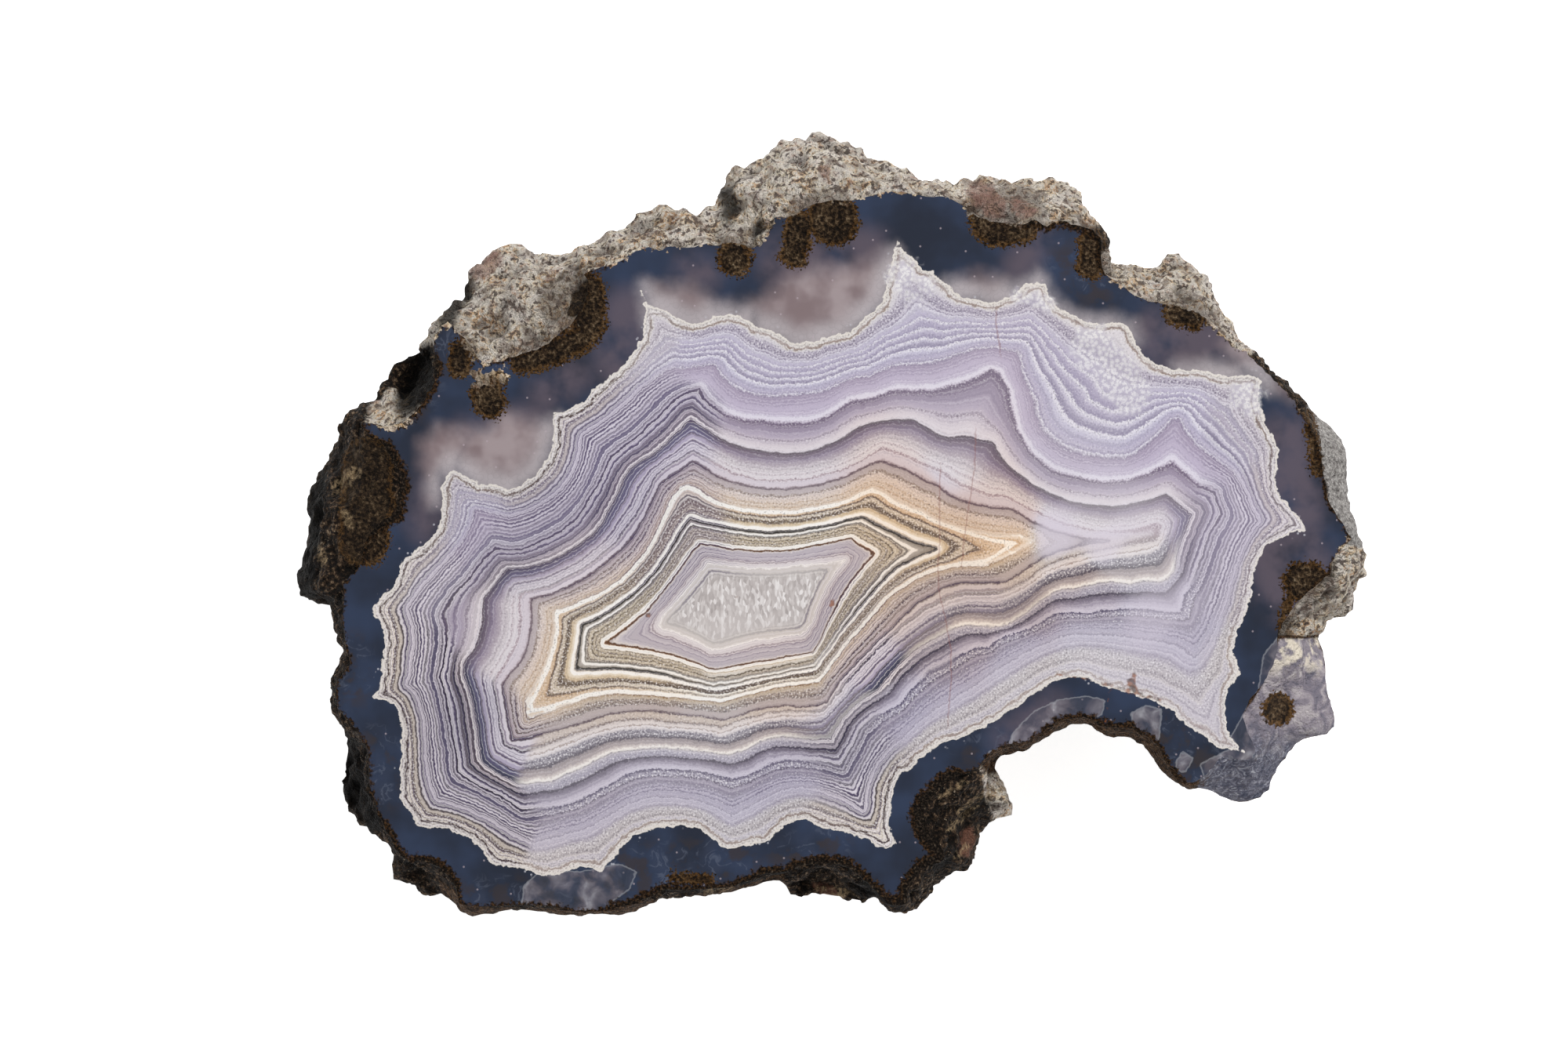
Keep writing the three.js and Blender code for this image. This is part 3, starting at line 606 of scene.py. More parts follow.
VEINS = {
    "long_vein": "1245,538 1243,600 1236,645 1229,690 1226,732",
    "winding_vein": "1200,585 1198,640 1199,690 1196,720 1198,755 1206,790 1213,830 1213,870 1208,935",
    "upper_vein": "1272,384 1270,410 1275,440 1277,462",
}
# places on the edge: x, y, width of the brown fringe, and none below zero
FRINGES = [
    (440, 800, 3), (440, 900, 4), (470, 1000, 5), (520, 1080, 10), (560, 1110, 12), (620, 1155, 5),
    (720, 1165, 5), (820, 1140, 11), (900, 1130, 9), (1000, 1105, 11), (1060, 1100, 14), (1110, 1130, 12),
    (1160, 1120, 16), (1190, 1050, 22), (1200, 1000, 18), (1250, 975, 4), (1300, 960, 3), (1360, 925, 8),
    (1420, 930, 10), (1480, 980, 8), (1505, 1000, 5), (1530, 995, -16), (1550, 970, -18), (1590, 965, -18),
    (1600, 935, -18), (1584, 907, -18), (1605, 880, -14), (1690, 700, 4), (1700, 600, 6), (1600, 440, 0),
    (1450, 380, 2), (1380, 290, 10), (1200, 245, -4), (1000, 270, 0), (850, 315, -4), (760, 360, 4),
    (560, 430, 4), (540, 480, 8), (480, 540, 4), (505, 580, 14), (500, 650, 14), (450, 720, 4),
]


def nearness(x, y, strokes):
    """How far inside the nearest of some round-ended strokes (x, y to x, y, radius) places lie, in pixels."""
    best = np.full(len(x), -np.inf)
    for *ends, radius in strokes:
        best = np.maximum(best, radius - np.sqrt(squared_distance(x, y, *ends)))
    return best


def blended(x, y, notes, column, reach=6.0):
    """A value noted at some places, blended between them by nearness."""
    total, weight = np.zeros(len(x)), np.zeros(len(x))
    for note in notes:
        near = ((x - note[0]) ** 2 + (y - note[1]) ** 2 + reach * reach) ** -2.2
        total += near * note[column]
        weight += near
    return total / weight


spots = read_vertices(stone.data, "co")
all_x, all_y = in_photo(spots)
on_sheet = np.zeros(len(spots), dtype=bool)
for patch in stone.data.polygons:
    if patch.material_index == 1:
        on_sheet[list(patch.vertices)] = True
x, y = all_x[on_sheet], all_y[on_sheet]
layer, skin_depth, steep = growth(x, y)
facts = {
    "layer": layer,
    "skin_depth": skin_depth,
    "steep": steep,
    "stripe": blended(x, y, BAND_NOTES, 2),
    "warm": blended(x, y, BAND_NOTES, 3),
    "light": blended(x, y, BAND_NOTES, 4),
    "lower": rise(deepest_inside(x, y, LOWER_SIDE), -14, 14),
    "edge_depth": np.minimum(depth_inside(x, y, loop), 60),
    "fringe": blended(x, y, FRINGES, 2),
    "haze": np.maximum(deepest_inside(x, y, HAZES), -40),
    "mauve": rise(nearness(x, y, MAUVES), -18, 22),
    "smoke": rise(nearness(x, y, SMOKES), -22, 14),
    "sugar": np.maximum(nearness(x, y, SUGARS), -40),
    "stain": np.maximum(nearness(x, y, STAINS), -20),
    "chip": np.maximum(deepest_inside(x, y, CHIPS), -40),
}
for name, course in VEINS.items():
    across, down = zip(*corners_of(course))
    facts[name] = np.clip(x - np.interp(y, down, across), -30, 30)
for name, values in facts.items():
    everywhere = np.zeros(len(spots))
    everywhere[on_sheet] = values
    write_attribute(stone.data, name, everywhere)
write_attribute(stone.data, "rocky", np.maximum(deepest_inside(all_x, all_y, HOST_ROCK), -60))
for name, strokes, lowest in (("tuft", TUFTS, -60), ("rust", RUSTS, -40), ("stones", STONES, -40)):
    write_attribute(stone.data, name, np.maximum(nearness(all_x, all_y, strokes), lowest))


# The finish of the rough rind: pale granular host rock in cream, grey and rust, dark brown crust, and
# grey translucent chalcedony where the corner broke.
def light_of(code):
    """A colour code's red, green and blue, as light."""
    shares = [int(code[k:k + 2], 16) / 255 for k in (0, 2, 4)]
    return [share / 12.92 if share <= 0.04045 else ((share + 0.055) / 1.055) ** 2.4 for share in shares]


class Shade:
    """A value in a material, as the output of a node. Sums and comparisons on it add their own nodes."""

    def __init__(self, finish, socket):
        self.finish = finish
        self.socket = socket

    def maths(self, operation, *others):
        return self.finish.node("ShaderNodeMath", {"operation": operation}, dict(enumerate((self, *others))))

    def __add__(self, other):
        return self.maths("ADD", other)

    def __sub__(self, other):
        return self.maths("SUBTRACT", other)

    def __rsub__(self, other):
        return (self * -1).maths("ADD", other)

    def __mul__(self, other):
        return self.maths("MULTIPLY", other)

    def __truediv__(self, other):
        return self.maths("DIVIDE", other)

    def __gt__(self, other):
        return self.maths("GREATER_THAN", other)

    def __abs__(self):
        return self.maths("ABSOLUTE")

    __radd__ = __add__
    __rmul__ = __mul__


class Finish:
    """A material and the ways to add nodes to it."""

    def __init__(self, name, dimensions):
        self.dimensions = dimensions
        self.material = bpy.data.materials.new(name)
        self.material.use_nodes = True
        self.tree = self.material.node_tree
        self.shader = self.tree.nodes["Principled BSDF"]
        place = self.node("ShaderNodeTexCoord", output="Object")
        self.spot = self.node("ShaderNodeVectorMath", {"operation": "SCALE"}, {0: place, "Scale": 1 / PIXEL})

    def node(self, kind, settings=None, values=None, output=0):
        node = self.tree.nodes.new(kind)
        for key, setting in (settings or {}).items():
            if key == "stops":
                stops = node.color_ramp.elements
                while len(stops) < len(setting):
                    stops.new(0.5)
                for stop, (position, colour) in zip(stops, setting):
                    stop.position = position
                    stop.color = colour
            else:
                setattr(node, key, setting)
        for key, value in (values or {}).items():
            if isinstance(value, Shade):
                self.tree.links.new(value.socket, node.inputs[key])
            else:
                node.inputs[key].default_value = value
        return Shade(self, node.outputs[output])

    def attribute(self, name):
        return self.node("ShaderNodeAttribute", {"attribute_name": name}, output="Fac")

    def noise(self, size, detail=1, seed=0.0, distortion=0.0):
        """Soft noise round 0, mostly between -1 and 1, with forms of about a size in pixels."""
        away = (37.3 * seed, 91.7 * seed, 53.9 * seed)
        place = self.node("ShaderNodeVectorMath", {"operation": "ADD"}, {0: self.spot, 1: away})
        values = {"Vector": place, "Scale": 1 / size, "Detail": detail, "Distortion": distortion}
        return self.node("ShaderNodeTexNoise", {"noise_dimensions": self.dimensions}, values) * 4 - 2

    def frayed(self, name, amount, size, detail=3, seed=0.0):
        """An attribute with noise on it, so that a form told by it gets a ragged edge."""
        return self.attribute(name) + amount * self.noise(size, detail=detail, seed=seed)

    def cells(self, size):
        settings = {"voronoi_dimensions": self.dimensions}
        return self.node("ShaderNodeTexVoronoi", settings, {"Vector": self.spot, "Scale": 1 / size})

    def axis(self, number):
        """How far along x, y or z a place of the stone is, in pixels."""
        return self.node("ShaderNodeSeparateXYZ", {}, {0: self.spot}, number)

    def rise(self, value, low, high):
        """0 below low, 1 above high and a smooth step between."""
        values = {"Value": value, "From Min": low, "From Max": high}
        return self.node("ShaderNodeMapRange", {"interpolation_type": "SMOOTHSTEP"}, values)

    def mix(self, share, under, over, blend="MIX"):
        under, over = [(*light_of(c), 1) if isinstance(c, str) else c for c in (under, over)]
        settings = {"data_type": "RGBA", "blend_type": blend}
        return self.node("ShaderNodeMix", settings, {0: share, 6: under, 7: over}, 2)

    def cover(self, under, over, value, low, high, share=1):
        """One colour over another, up to a share, where a value goes from low to high."""
        return self.mix(self.rise(value, low, high) * share, under, over)

    def ramp(self, value, colours):
        """Colours along a value from 0 to 1, written as positions and colour codes."""
        stops = [stop.split() for stop in colours.split(",")]
        stops = [(float(position), (*light_of(code), 1)) for position, code in stops]
        return self.node("ShaderNodeValToRGB", {"stops": stops}, {0: value})

    def link(self, name, value):
        self.tree.links.new(value.socket, self.shader.inputs[name])

    def bump(self, height, distance):
        values = {"Strength": 1.0, "Distance": distance, "Height": height}
        self.link("Normal", self.node("ShaderNodeBump", {}, values))


def host_rock(finish):
    """The host rock's colour: patches of cream, white, tan and blue grey, dark specks, patches of painted
    shade, rust in places.
    """
    patches = finish.noise(26, detail=3, seed=22, distortion=0.8) * 0.42 + 0.5
    rock = finish.ramp(patches, "0 d2ccd0, .2 efe6de, .36 fff4e8, .56 fff0d4, .76 f6cf9f, 1 d49a6a")
    ochre = finish.noise(13, detail=3, seed=25)
    rock = finish.cover(rock, "d49a62", ochre, 0.15, 0.7, 0.6)
    grain = finish.noise(6.5, detail=4, seed=21)
    rock = finish.cover(rock, "fff7ea", grain, -0.04, 0.28, 0.9)
    rock = finish.cover(rock, "a5684a", ochre, -0.35, -0.9, 0.6)
    rock = finish.cover(rock, "33241a", grain, -0.14, -0.4, 0.9)
    # painted shade: dark brown patches at random, standing in for shade between the lumps
    painted_shade_field = finish.noise(24, detail=4, seed=27, distortion=0.6)
    rock = finish.cover(rock, "6b5140", painted_shade_field, 0.05, -0.6, 0.6)
    rock = finish.cover(rock, "46331f", finish.frayed("tuft", 9, 12, seed=28), -14, 0, 0.6)
    rust = finish.frayed("rust", 6, 9, seed=23)
    return finish.cover(rock, "945642", rust, -4, 5, finish.rise(grain, -1.2, 0.4) * 0.7)


def moss(finish, depth):
    """The mossy growths' colour: dark grains with faint rings inside, a rusty fringe round them."""
    shaggy = finish.noise(4.5, detail=3, seed=11.5)
    rings = (0.5 * depth + 1.6 * finish.noise(16, seed=12)).maths("SINE")
    tones = shaggy * 0.30 + 0.48 + 0.08 * rings + 0.15 * finish.noise(26, detail=2, seed=14)
    colour = finish.ramp(tones, "0 0b0705, .36 241910, .6 4d3c2a, .82 7a6750, 1 a3937c")
    return finish.cover(colour, "6a471a", depth, 10, 3, finish.rise(shaggy, -0.7, 0.5) * 0.6)


rough = Finish("agate_rind_rough", "3D")
relief = rough.attribute("relief")
# painted shade: the rock and the crust are darkened where the relief sinks, as shade in pits and crevices
painted_recess_shade = rough.rise(relief, -0.65, -0.15)
grit = rough.noise(5, detail=4, seed=1)
rock = rough.mix(0.12, host_rock(rough), "ffece2")
rock = rough.mix(0.45, rock, rough.mix(painted_recess_shade, "3e2c1e", "ffffff"), "MULTIPLY")
# painted shade and light: the crust's tone follows the relief, darker in the pits and lighter on the peaks
crust = grit * 0.45 + 0.44 + 0.25 * relief
crust = rough.ramp(crust, "0 050403, .35 1a120c, .55 3d2e22, .75 7d6650, 1 c8b297")
crust = rough.mix(0.6, crust, rough.mix(painted_recess_shade, "0a0705", "ffffff"), "MULTIPLY")
above_ground = rough.axis(2) + 60 * rough.noise(60, detail=3, seed=2)
crust = rough.cover(crust, "8a7763", above_ground, 430, 180, 0.4)
# painted highlights: small light specks on the dark crust, as glints
painted_glint_places = rough.rise(rough.noise(40, seed=7), -0.4, 0.5)
crust = rough.cover(crust, "c9b69c", rough.noise(3.6, detail=1, seed=6), 0.6, 1.1, painted_glint_places * 0.7)
pale = rough.rise(rough.frayed("pale", 0.3, 14, detail=4, seed=3.5), 0.25, 0.75)
rind = rough.mix(pale, crust, rock)

# the broken corner: cloudy grey, creamy above and fractured below, and brown where its surface turns sideways
# or down
cloudy = rough.noise(24, detail=4, seed=4.5, distortion=1.5) * 0.4 + 0.5
glass = rough.ramp(cloudy, "0 454553, .25 6d6a77, .5 928a93, .75 b7afb2, 1 e6dfda")
fractures = rough.noise(11, detail=3, seed=9, distortion=2.5) * 0.4 + 0.5
fractured = rough.ramp(fractures, "0 1a202e, .4 3c4357, .62 747889, .82 b5b7c0, 1 f2f2f4")
upward = rough.axis(1)
glass = rough.cover(glass, fractured, upward, -245, -310, 0.75)
creamy = rough.rise(rough.noise(18, detail=3, seed=10), -0.25, 0.35)
glass = rough.cover(glass, "f6ead6", upward, -205, -170, creamy * 0.85)
# brown where the surface turns sideways or down
glass = rough.cover(glass, "3d2614", rough.frayed("upward", 0.25, 7, seed=8), 0.35, 0.10, 0.85)
glassy = rough.attribute("glassy")
rim_brown = rough.ramp(grit * 0.4 + 0.5, "0 120c08, .4 3a2819, .7 75563a, 1 b59a7c")
rind = rough.cover(rind, rim_brown, glassy, 0.1, 0.4)
rind = rough.cover(rind, glass, glassy + 0.1 * grit, 0.5, 0.8)

# the grey shelf, mossy growths, rust, small cream stones, and painted shadow, near black, over the hollows
# and shaded flanks
shelf = rough.ramp(grit * 0.4 + 0.5, "0 3c3836, .3 8b8683, .6 bdb8b4, 1 e6e2dd")
rind = rough.cover(rind, shelf, rough.attribute("shelf"), 0.3, 0.7)
tuft = rough.frayed("tuft", 4.5, 4.5, detail=2, seed=10.5)
rind = rough.cover(rind, moss(rough, tuft), tuft, -1, 2, 1 - pale)
rind = rough.cover(rind, "a8745f", rough.frayed("rust", 5, 9, seed=23), -3, 5, (1 - pale) * 0.5)
grainy = rough.rise(grit, -0.6, 0.4)
rind = rough.cover(rind, "cdb18a", rough.frayed("stones", 6, 9, seed=29), -3, 6, grainy * 0.7)
# painted shadow: the rind turns near black over the hollows and shaded flanks
rough.link("Base Color", rough.mix(rough.attribute("hollow") * 0.9, rind, "040302"))
rough.shader.inputs["Roughness"].default_value = 0.85
rough.shader.inputs["Specular IOR Level"].default_value = 0.2
height = grit + 0.6 * rough.noise(2.5, detail=2, seed=5) - 1.2 * rough.cells(12)
height = height * (1 + 0.35 * pale) * (1 - 0.7 * rough.rise(glassy, 0.5, 0.8))
rough.bump(height, 0.00026)


# The finish of the polished face. Its colours are sequences across each layer, from the wall inwards:
# a calm one, for the broad lilac bands, and a stripy one, for the folds, where fine dark lines crowd.
# The third part of a colour is how grainy it is there.
CALM_BANDS = [
    "0.00 d6d0d4 5, 0.15 dad5da 5, 0.19 b3abbb 8, 0.29 aaa2b4 8, 0.32 cbc5d3 4, 0.335 8f859c 3, "
    "0.35 dad6e2 5, 0.42 bdb6cc 4, 0.445 a79fb9 5, 0.457 e2dfe8 8, 0.49 b9b2c8 5, 0.55 a39bb5 5, "
    "0.562 dfdce6 8, 0.60 bbb4ca 5, 0.655 9c94ae 5, 0.667 e0dde7 8, 0.71 c2bcd0 5, 0.765 9a92ac 5, "
    "0.78 e2dfea 8, 0.83 c6c1d5 5, 0.90 b5adc6 5, 0.95 a49bb4 6, 0.962 e0dce8 7, 0.985 968ba4 6, "
    "1.04 aa9db4 3, 1.27 b5a9c0 3, 1.50 c0b5cb 3, 1.69 c8bed2 3, 1.75 ddd7e5 3, 1.88 e0dae7 3, "
    "1.94 bfb4c6 7, 2.00 7f7087 7",
    "2.00 77687f 6, 2.08 83748a 5, 2.20 9b8ea3 2, 2.45 b7abbd 2, 2.52 bfb3c1 4, 2.58 aa9dab 8, "
    "2.62 c6bbc7 5, 2.70 d8ced6 3, 2.84 ddd4da 2, 2.95 d3c9d0 2, 3.00 53455a 1, 3.05 6c5d6e 2, "
    "3.20 8f8196 3, 3.32 aea2ae 5, 3.44 cbc2c8 6, 3.54 ddd6db 4, 3.585 c0b3bb 8, 3.61 dfd8dd 4, "
    "3.70 e0d9df 3, 3.72 a48f99 7, 3.745 a48f99 7, 3.77 d8cfd8 4, 3.92 d3c9d3 3, 3.965 a3929a 3, "
    "4.00 8a787b 2",
    "4.00 8a787b 2, 4.05 b9adb0 3, 4.23 b8acae 4, 4.28 9d8d85 8, 4.34 a8988f 8, 4.39 ddcfc9 6, "
    "4.60 dccdc2 6, 4.66 ceb9a5 7, 4.80 dfd0c2 6, 4.88 c5ae98 7, 4.94 e0d1c2 5, 5.02 e9dfd4 4, "
    "5.06 d3b799 7, 5.20 dcc5aa 7, 5.26 c4a889 7, 5.35 d3c8b8 7, 5.42 c9bcab 9, 5.46 7f705c 9, "
    "5.53 6a5b4b 9, 5.59 8f806b 8, 5.64 d6c1a0 5, 5.73 e3d5bd 4, 5.80 ece3d4 4, 5.90 e3d9cb 4, "
    "6.00 8f867c 3",
    "6.00 8f867c 2, 6.06 a39d97 2, 6.11 c9c3bb 2, 6.19 d9d2c8 3, 6.23 e0d9cf 4, 6.29 7d6e5a 8, "
    "6.33 c9bda9 7, 6.40 d3c8b6 7, 6.44 5f5140 8, 6.48 b5a892 7, 6.55 c6b9a4 7, 6.59 665846 8, "
    "6.63 bfb29d 7, 6.70 cbbfac 7, 6.73 6f604d 7, 6.77 e9e0d3 4, 6.81 efe7da 3, 6.92 e9ddcb 3, "
    "6.95 a57c50 2, 7.00 6a4426 1",
]
LOWER_BANDS = [
    "0.00 c9c1bb 7, 0.06 d2cbcc 5, 0.10 aba4ae 6, 0.13 cdc7cd 5, 0.19 c4bdc6 6, 0.215 a19aa6 6, "
    "0.25 cfc9d0 6, 0.30 c2bbc4 7, 0.36 cfc8c9 6, 0.42 999196 8, 0.46 bcb5b8 8, 0.60 c2bcc2 8, "
    "0.66 b0a9b6 6, 0.70 9a92a4 5, 0.73 c3bdcc 4, 0.78 c6c0cf 4, 0.80 a199ae 4, 0.83 c3bdcd 4, "
    "0.93 bcb6c8 4, 0.96 8f889d 4, 1.00 b5aec1 4",
    "1.00 b5aec1 4, 1.09 b6b0c3 4, 1.16 a7a0b5 5, 1.19 857e95 5, 1.22 b2abbf 4, 1.29 aea7bb 4, "
    "1.32 8b849a 5, 1.355 aea7bb 5, 1.41 a8a1b5 5, 1.44 837c91 5, 1.475 9d96aa 6, 1.52 877f94 7, "
    "1.56 9a92a5 3, 1.68 a69eb0 3, 1.715 6f677a 8, 1.74 7d7689 8, 1.77 a6a0b3 9, 1.87 9f99ac 9, "
    "1.91 8e879c 9, 1.945 67607a 6, 1.985 5c5570 5, 2.00 8d8699 3",
    "2.00 c6c0d0 3, 2.04 cdc7d6 2, 2.17 c2bbcb 2, 2.30 a49cae 2, 2.45 80788a 2, 2.53 675f70 2, "
    "2.57 4f4858 2, 2.61 554e5f 3, 2.65 a49eae 7, 2.75 aea9b9 7, 2.90 a29cab 7, 2.94 857d8b 3, "
    "2.97 a59fa8 2, 2.99 e6e0dd 0, 3.00 f1ebe6 0",
    "3.00 f1ebe6 0, 3.05 f3ede8 0, 3.08 d3c8c4 2, 3.16 b3a7a7 2, 3.26 8f8488 3, 3.295 4d4552 4, "
    "3.32 6d6672 8, 3.40 8b8690 9, 3.48 a19ca6 9, 3.51 e0d9da 3, 3.57 e3dcdc 2, 3.59 a08e88 3, "
    "3.61 e4dbd9 3, 3.69 e2d8d5 3, 3.73 8a7a74 7, 3.76 8a7a74 7, 3.79 cdbfb5 6, 3.94 cbbdb4 6, "
    "3.985 6a5a56 3, 4.00 6a5a56 2",
    "4.00 7a6a66 2, 4.05 b5a9a9 2, 4.32 bcb0af 3, 4.38 8f837c 9, 4.55 9c8f86 9, 4.70 a89b8f 9, "
    "4.75 c3b5a5 5, 4.86 c6b8a6 5, 4.91 a58a66 7, 4.97 8a6c48 7, 5.02 f3efe9 5, 5.12 f5f2ee 3, "
    "5.22 dccfbd 8, 5.34 e6dccd 7, 5.45 f3f0ea 4, 5.49 4d3e2f 7, 5.58 6a5a46 9, 5.70 4a3d30 8, "
    "5.76 e8e3da 8, 5.91 efebe4 5, 5.955 8a8176 4, 6.00 6a6056 2",
    "6.00 6a6056 1, 6.04 a79d90 4, 6.15 bdb4a9 5, 6.28 aaa094 6, 6.40 b7aea2 6, 6.45 4a4238 5, "
    "6.50 544b40 6, 6.54 f0ece6 2, 6.68 f4f0ea 2, 6.73 d9c3a5 4, 6.92 d3bb9a 4, 6.965 7a5c3c 2, "
    "7.00 5c4028 1",
]
STRIPY_BANDS = [
    "0.00 d6ccc0 6, 0.23 dfd6cc 6, 0.36 d3c8bd 8, 0.40 5a4a42 8, 0.45 6a5a50 9, 0.50 cdc3b9 6, "
    "0.56 bfb4ac 5, 0.59 352a2c 2, 0.62 40343a 2, 0.65 d3cdd2 3, 0.72 c9c2ca 3, 0.755 2f2533 1, "
    "0.79 2f2533 1, 0.83 bdb6c2 4, 0.97 bab2c0 4, 1.00 6f6676 3",
    "1.00 4f4656 2, 1.04 cdc7d1 2, 1.07 cdc7d1 2, 1.105 5c5464 3, 1.145 c5bfca 2, 1.19 352d3d 1, "
    "1.21 352d3d 1, 1.24 d0cad5 2, 1.28 cbc5d0 2, 1.315 574f60 6, 1.35 cec8d2 3, 1.40 cec8d2 3, "
    "1.43 3a3046 1, 1.46 3a3046 1, 1.49 cbc5d1 2, 1.55 bdb6c4 3, 1.58 77707f 5, 1.65 67617a 4, "
    "1.70 524e66 2, 1.74 5a566c 2, 1.77 c4becb 3, 1.80 a49eac 4, 1.86 918a99 5, 1.90 5a5262 6, "
    "1.93 4a4252 3, 1.96 d4ceda 1, 2.00 cfc9d5 1",
    "2.00 40384a 1, 2.02 241c2c 0, 2.08 241c2c 0, 2.11 d5cfd8 2, 2.20 cdc7d2 2, 2.23 8a8396 2, "
    "2.26 3a3546 1, 2.31 403b4d 1, 2.34 c8c2cd 2, 2.40 a39cab 3, 2.44 5d5560 3, 2.49 625a66 3, "
    "2.52 1f1a2c 0, 2.62 1f1a2c 0, 2.65 c5bac0 1, 2.72 d3c9cd 2, 2.75 3a2c35 1, 2.83 4a3a42 1, "
    "2.86 e3d9d6 2, 2.96 eae1dd 1, 2.985 8a8088 1, 3.00 262338 0",
    "3.00 33334a 0, 3.10 42445c 0, 3.14 5c5e78 1, 3.22 72728e 1, 3.235 3a2c44 0, 3.26 3a2c44 0, "
    "3.29 b3aac2 2, 3.37 c3bbd0 2, 3.395 5a4a60 1, 3.425 5a4a60 1, 3.45 ddd6e2 2, 3.52 e0dae5 2, "
    "3.555 a49bb0 8, 3.59 dfd9e4 3, 3.66 e0dae5 2, 3.69 4a3f50 7, 3.73 3a2f40 6, 3.75 e0d9e2 2, "
    "3.775 7a6a7c 1, 3.80 e0d8e2 1, 3.91 e3dce4 1, 3.945 3a2a3e 0, 3.96 2c1c30 0, 4.00 2c1c30 0",
    "4.00 2c1c30 0, 4.04 3a2a3c 0, 4.08 b3a3a8 2, 4.20 b9aaae 3, 4.25 5c4a48 7, 4.29 6a5854 7, "
    "4.34 c9bbbb 4, 4.40 bfb0af 5, 4.44 5c4a48 7, 4.48 6a5854 7, 4.54 d8cac8 4, 4.80 d3c2b5 5, "
    "4.92 b39b86 7, 4.98 7d6550 6, 5.03 e9ddd0 4, 5.12 cdb8a4 7, 5.20 e6dacc 4, 5.33 f0e8de 3, "
    "5.38 5d4e3d 7, 5.46 8b7a66 9, 5.54 7d6e59 8, 5.60 c0b29c 8, 5.67 b3a48e 8, 5.71 5f523f 7, "
    "5.79 75674f 8, 5.83 f6f3ef 4, 5.93 f3efe9 5, 6.00 6a625a 2",
    "6.00 6a625a 2, 6.10 a8a096 1, 6.13 f2eee9 1, 6.18 f5f2ee 2, 6.21 2a221c 1, 6.25 c9bfae 5, "
    "6.31 5d5142 7, 6.36 cbc1b0 7, 6.42 6d604e 8, 6.48 d5ccbd 7, 6.54 5d5142 7, 6.60 b9ad99 8, "
    "6.66 6a5d4b 7, 6.72 a99d86 6, 6.77 f3ece1 3, 6.90 f0e8de 2, 6.94 43291a 0, 7.00 2e1c13 0",
]
# layer, half its width in pixels, colour, share above and below the middle
SHARP_LINES = [
    (2.93, 1.3, "e9e3ea", 0.6, 0.6), (2.985, 1.3, "51424d", 0.8, 0.3), (3.985, 1.1, "63515a", 0.8, 0.6),
    (5.09, 2.2, "faf8f4", 1.0, 1.0), (5.29, 1.1, "3a2d25", 0.7, 0.4), (5.84, 1.9, "fbf9f6", 1.0, 1.0),
    (5.98, 1.6, "0e0b09", 0.9, 0.3), (6.15, 1.6, "f8f6f2", 1.0, 1.0), (6.22, 0.9, "2a221c", 0.7, 0.5),
    (6.85, 1.9, "fbf9f5", 1.0, 1.0), (6.985, 1.1, "573820", 0.75, 0.5),
]
INNER_BANDS = [
    "7.00 7a6355 1, 7.05 e3dbd8 2, 7.10 c3bcc4 2, 7.30 bbb3bd 3, 7.36 a39aa8 3, 7.40 c8c0c8 3, "
    "7.55 c0b8c1 3, 7.60 968a98 6, 7.66 ddd5da 5, 7.71 8f8089 4, 7.78 e0d9dd 4, 7.95 e0dadd 3, "
    "8.00 f4f0f0 1, 8.05 d2cccb 2, 8.16 c9c5c3 3, 9.00 cbc8c5 3",
]


def band_colours(finish, layer, sequences):
    """Colour and graininess across the layers, from written sequences."""
    colour, grain = None, None
    for sequence in sequences:
        stops = [stop.split() for stop in sequence.split(",")]
        first, last = float(stops[0][0]), float(stops[-1][0])
        stops = [((float(at) - first) / (last - first), (*light_of(code), int(grainy) / 9))
                 for at, code, grainy in stops]
        ramp = finish.node("ShaderNodeValToRGB", {"stops": stops}, {0: (layer - first) / (last - first)})
        ramp_grain = Shade(finish, ramp.socket.node.outputs["Alpha"])
        if colour is None:
            colour, grain = ramp, ramp_grain
        else:
            here = layer > first
            colour = finish.mix(here, colour, ramp)
            grain = grain + here * (ramp_grain - grain)
    return colour, grain


polish = Finish("banded_agate_polished", "2D")
layer = polish.attribute("layer")
steep = polish.attribute("steep")
skin_depth = polish.attribute("skin_depth")
lower = polish.attribute("lower")
upward = polish.axis(1)
specks = polish.noise(2.4, detail=2, seed=4.5)
stripe = polish.rise(polish.attribute("stripe"), 0.2, 0.75)
calmness = (1 - stripe) * (1 - 0.7 * polish.rise(layer, 4.6, 5.2))
waves = 0.8 * polish.noise(22)
ripples = polish.noise(7, seed=1.5)
fuzz = (0.4 + 0.7 * calmness) * polish.noise(3, seed=2.5)
grown = layer + steep * (waves + 0.6 * ripples + fuzz)
calm, calm_grain = band_colours(polish, grown, CALM_BANDS)
under, under_grain = band_colours(polish, grown, LOWER_BANDS)
stripy, stripy_grain = band_colours(polish, grown, STRIPY_BANDS)
inner = band_colours(polish, grown, INNER_BANDS)[0]
stripy = polish.cover(stripy, "9a8cb0", upward, -110, 0, 0.24)
bands = polish.mix(stripe, polish.mix(lower, calm, under), stripy)
bands = polish.mix(grown > 7, bands, inner)
grain = calm_grain + lower * (under_grain - calm_grain)
grain = grain + stripe * (stripy_grain - grain)

# the sharpest lines keep their widths, told in pixels, where the layers spread
evenly = layer + steep * (waves + 0.4 * ripples)
for level, half_width, colour, above, below in SHARP_LINES:
    away = abs((evenly - level) / steep) + 0.4 * specks
    share = above + lower * (below - above)
    bands = polish.cover(bands, colour, away, half_width + 0.8, half_width - 0.6, share)

# right under the wall the layers keep their widths: a white skin, then a thin brown line
skin = skin_depth + 1.8 * polish.noise(15, seed=20) + 1.1 * polish.noise(5, detail=2, seed=24)
brown_line = polish.mix(stripe, "9c8b84", "45332c")
under_skin = polish.cover("bfb7b2", "ddd7d2", specks, -0.8, 0.2)
under_skin = polish.cover(under_skin, brown_line, abs(skin - 7.5), 2.2, 0.7)
bands = polish.cover(bands, under_skin, skin, 12, 8)

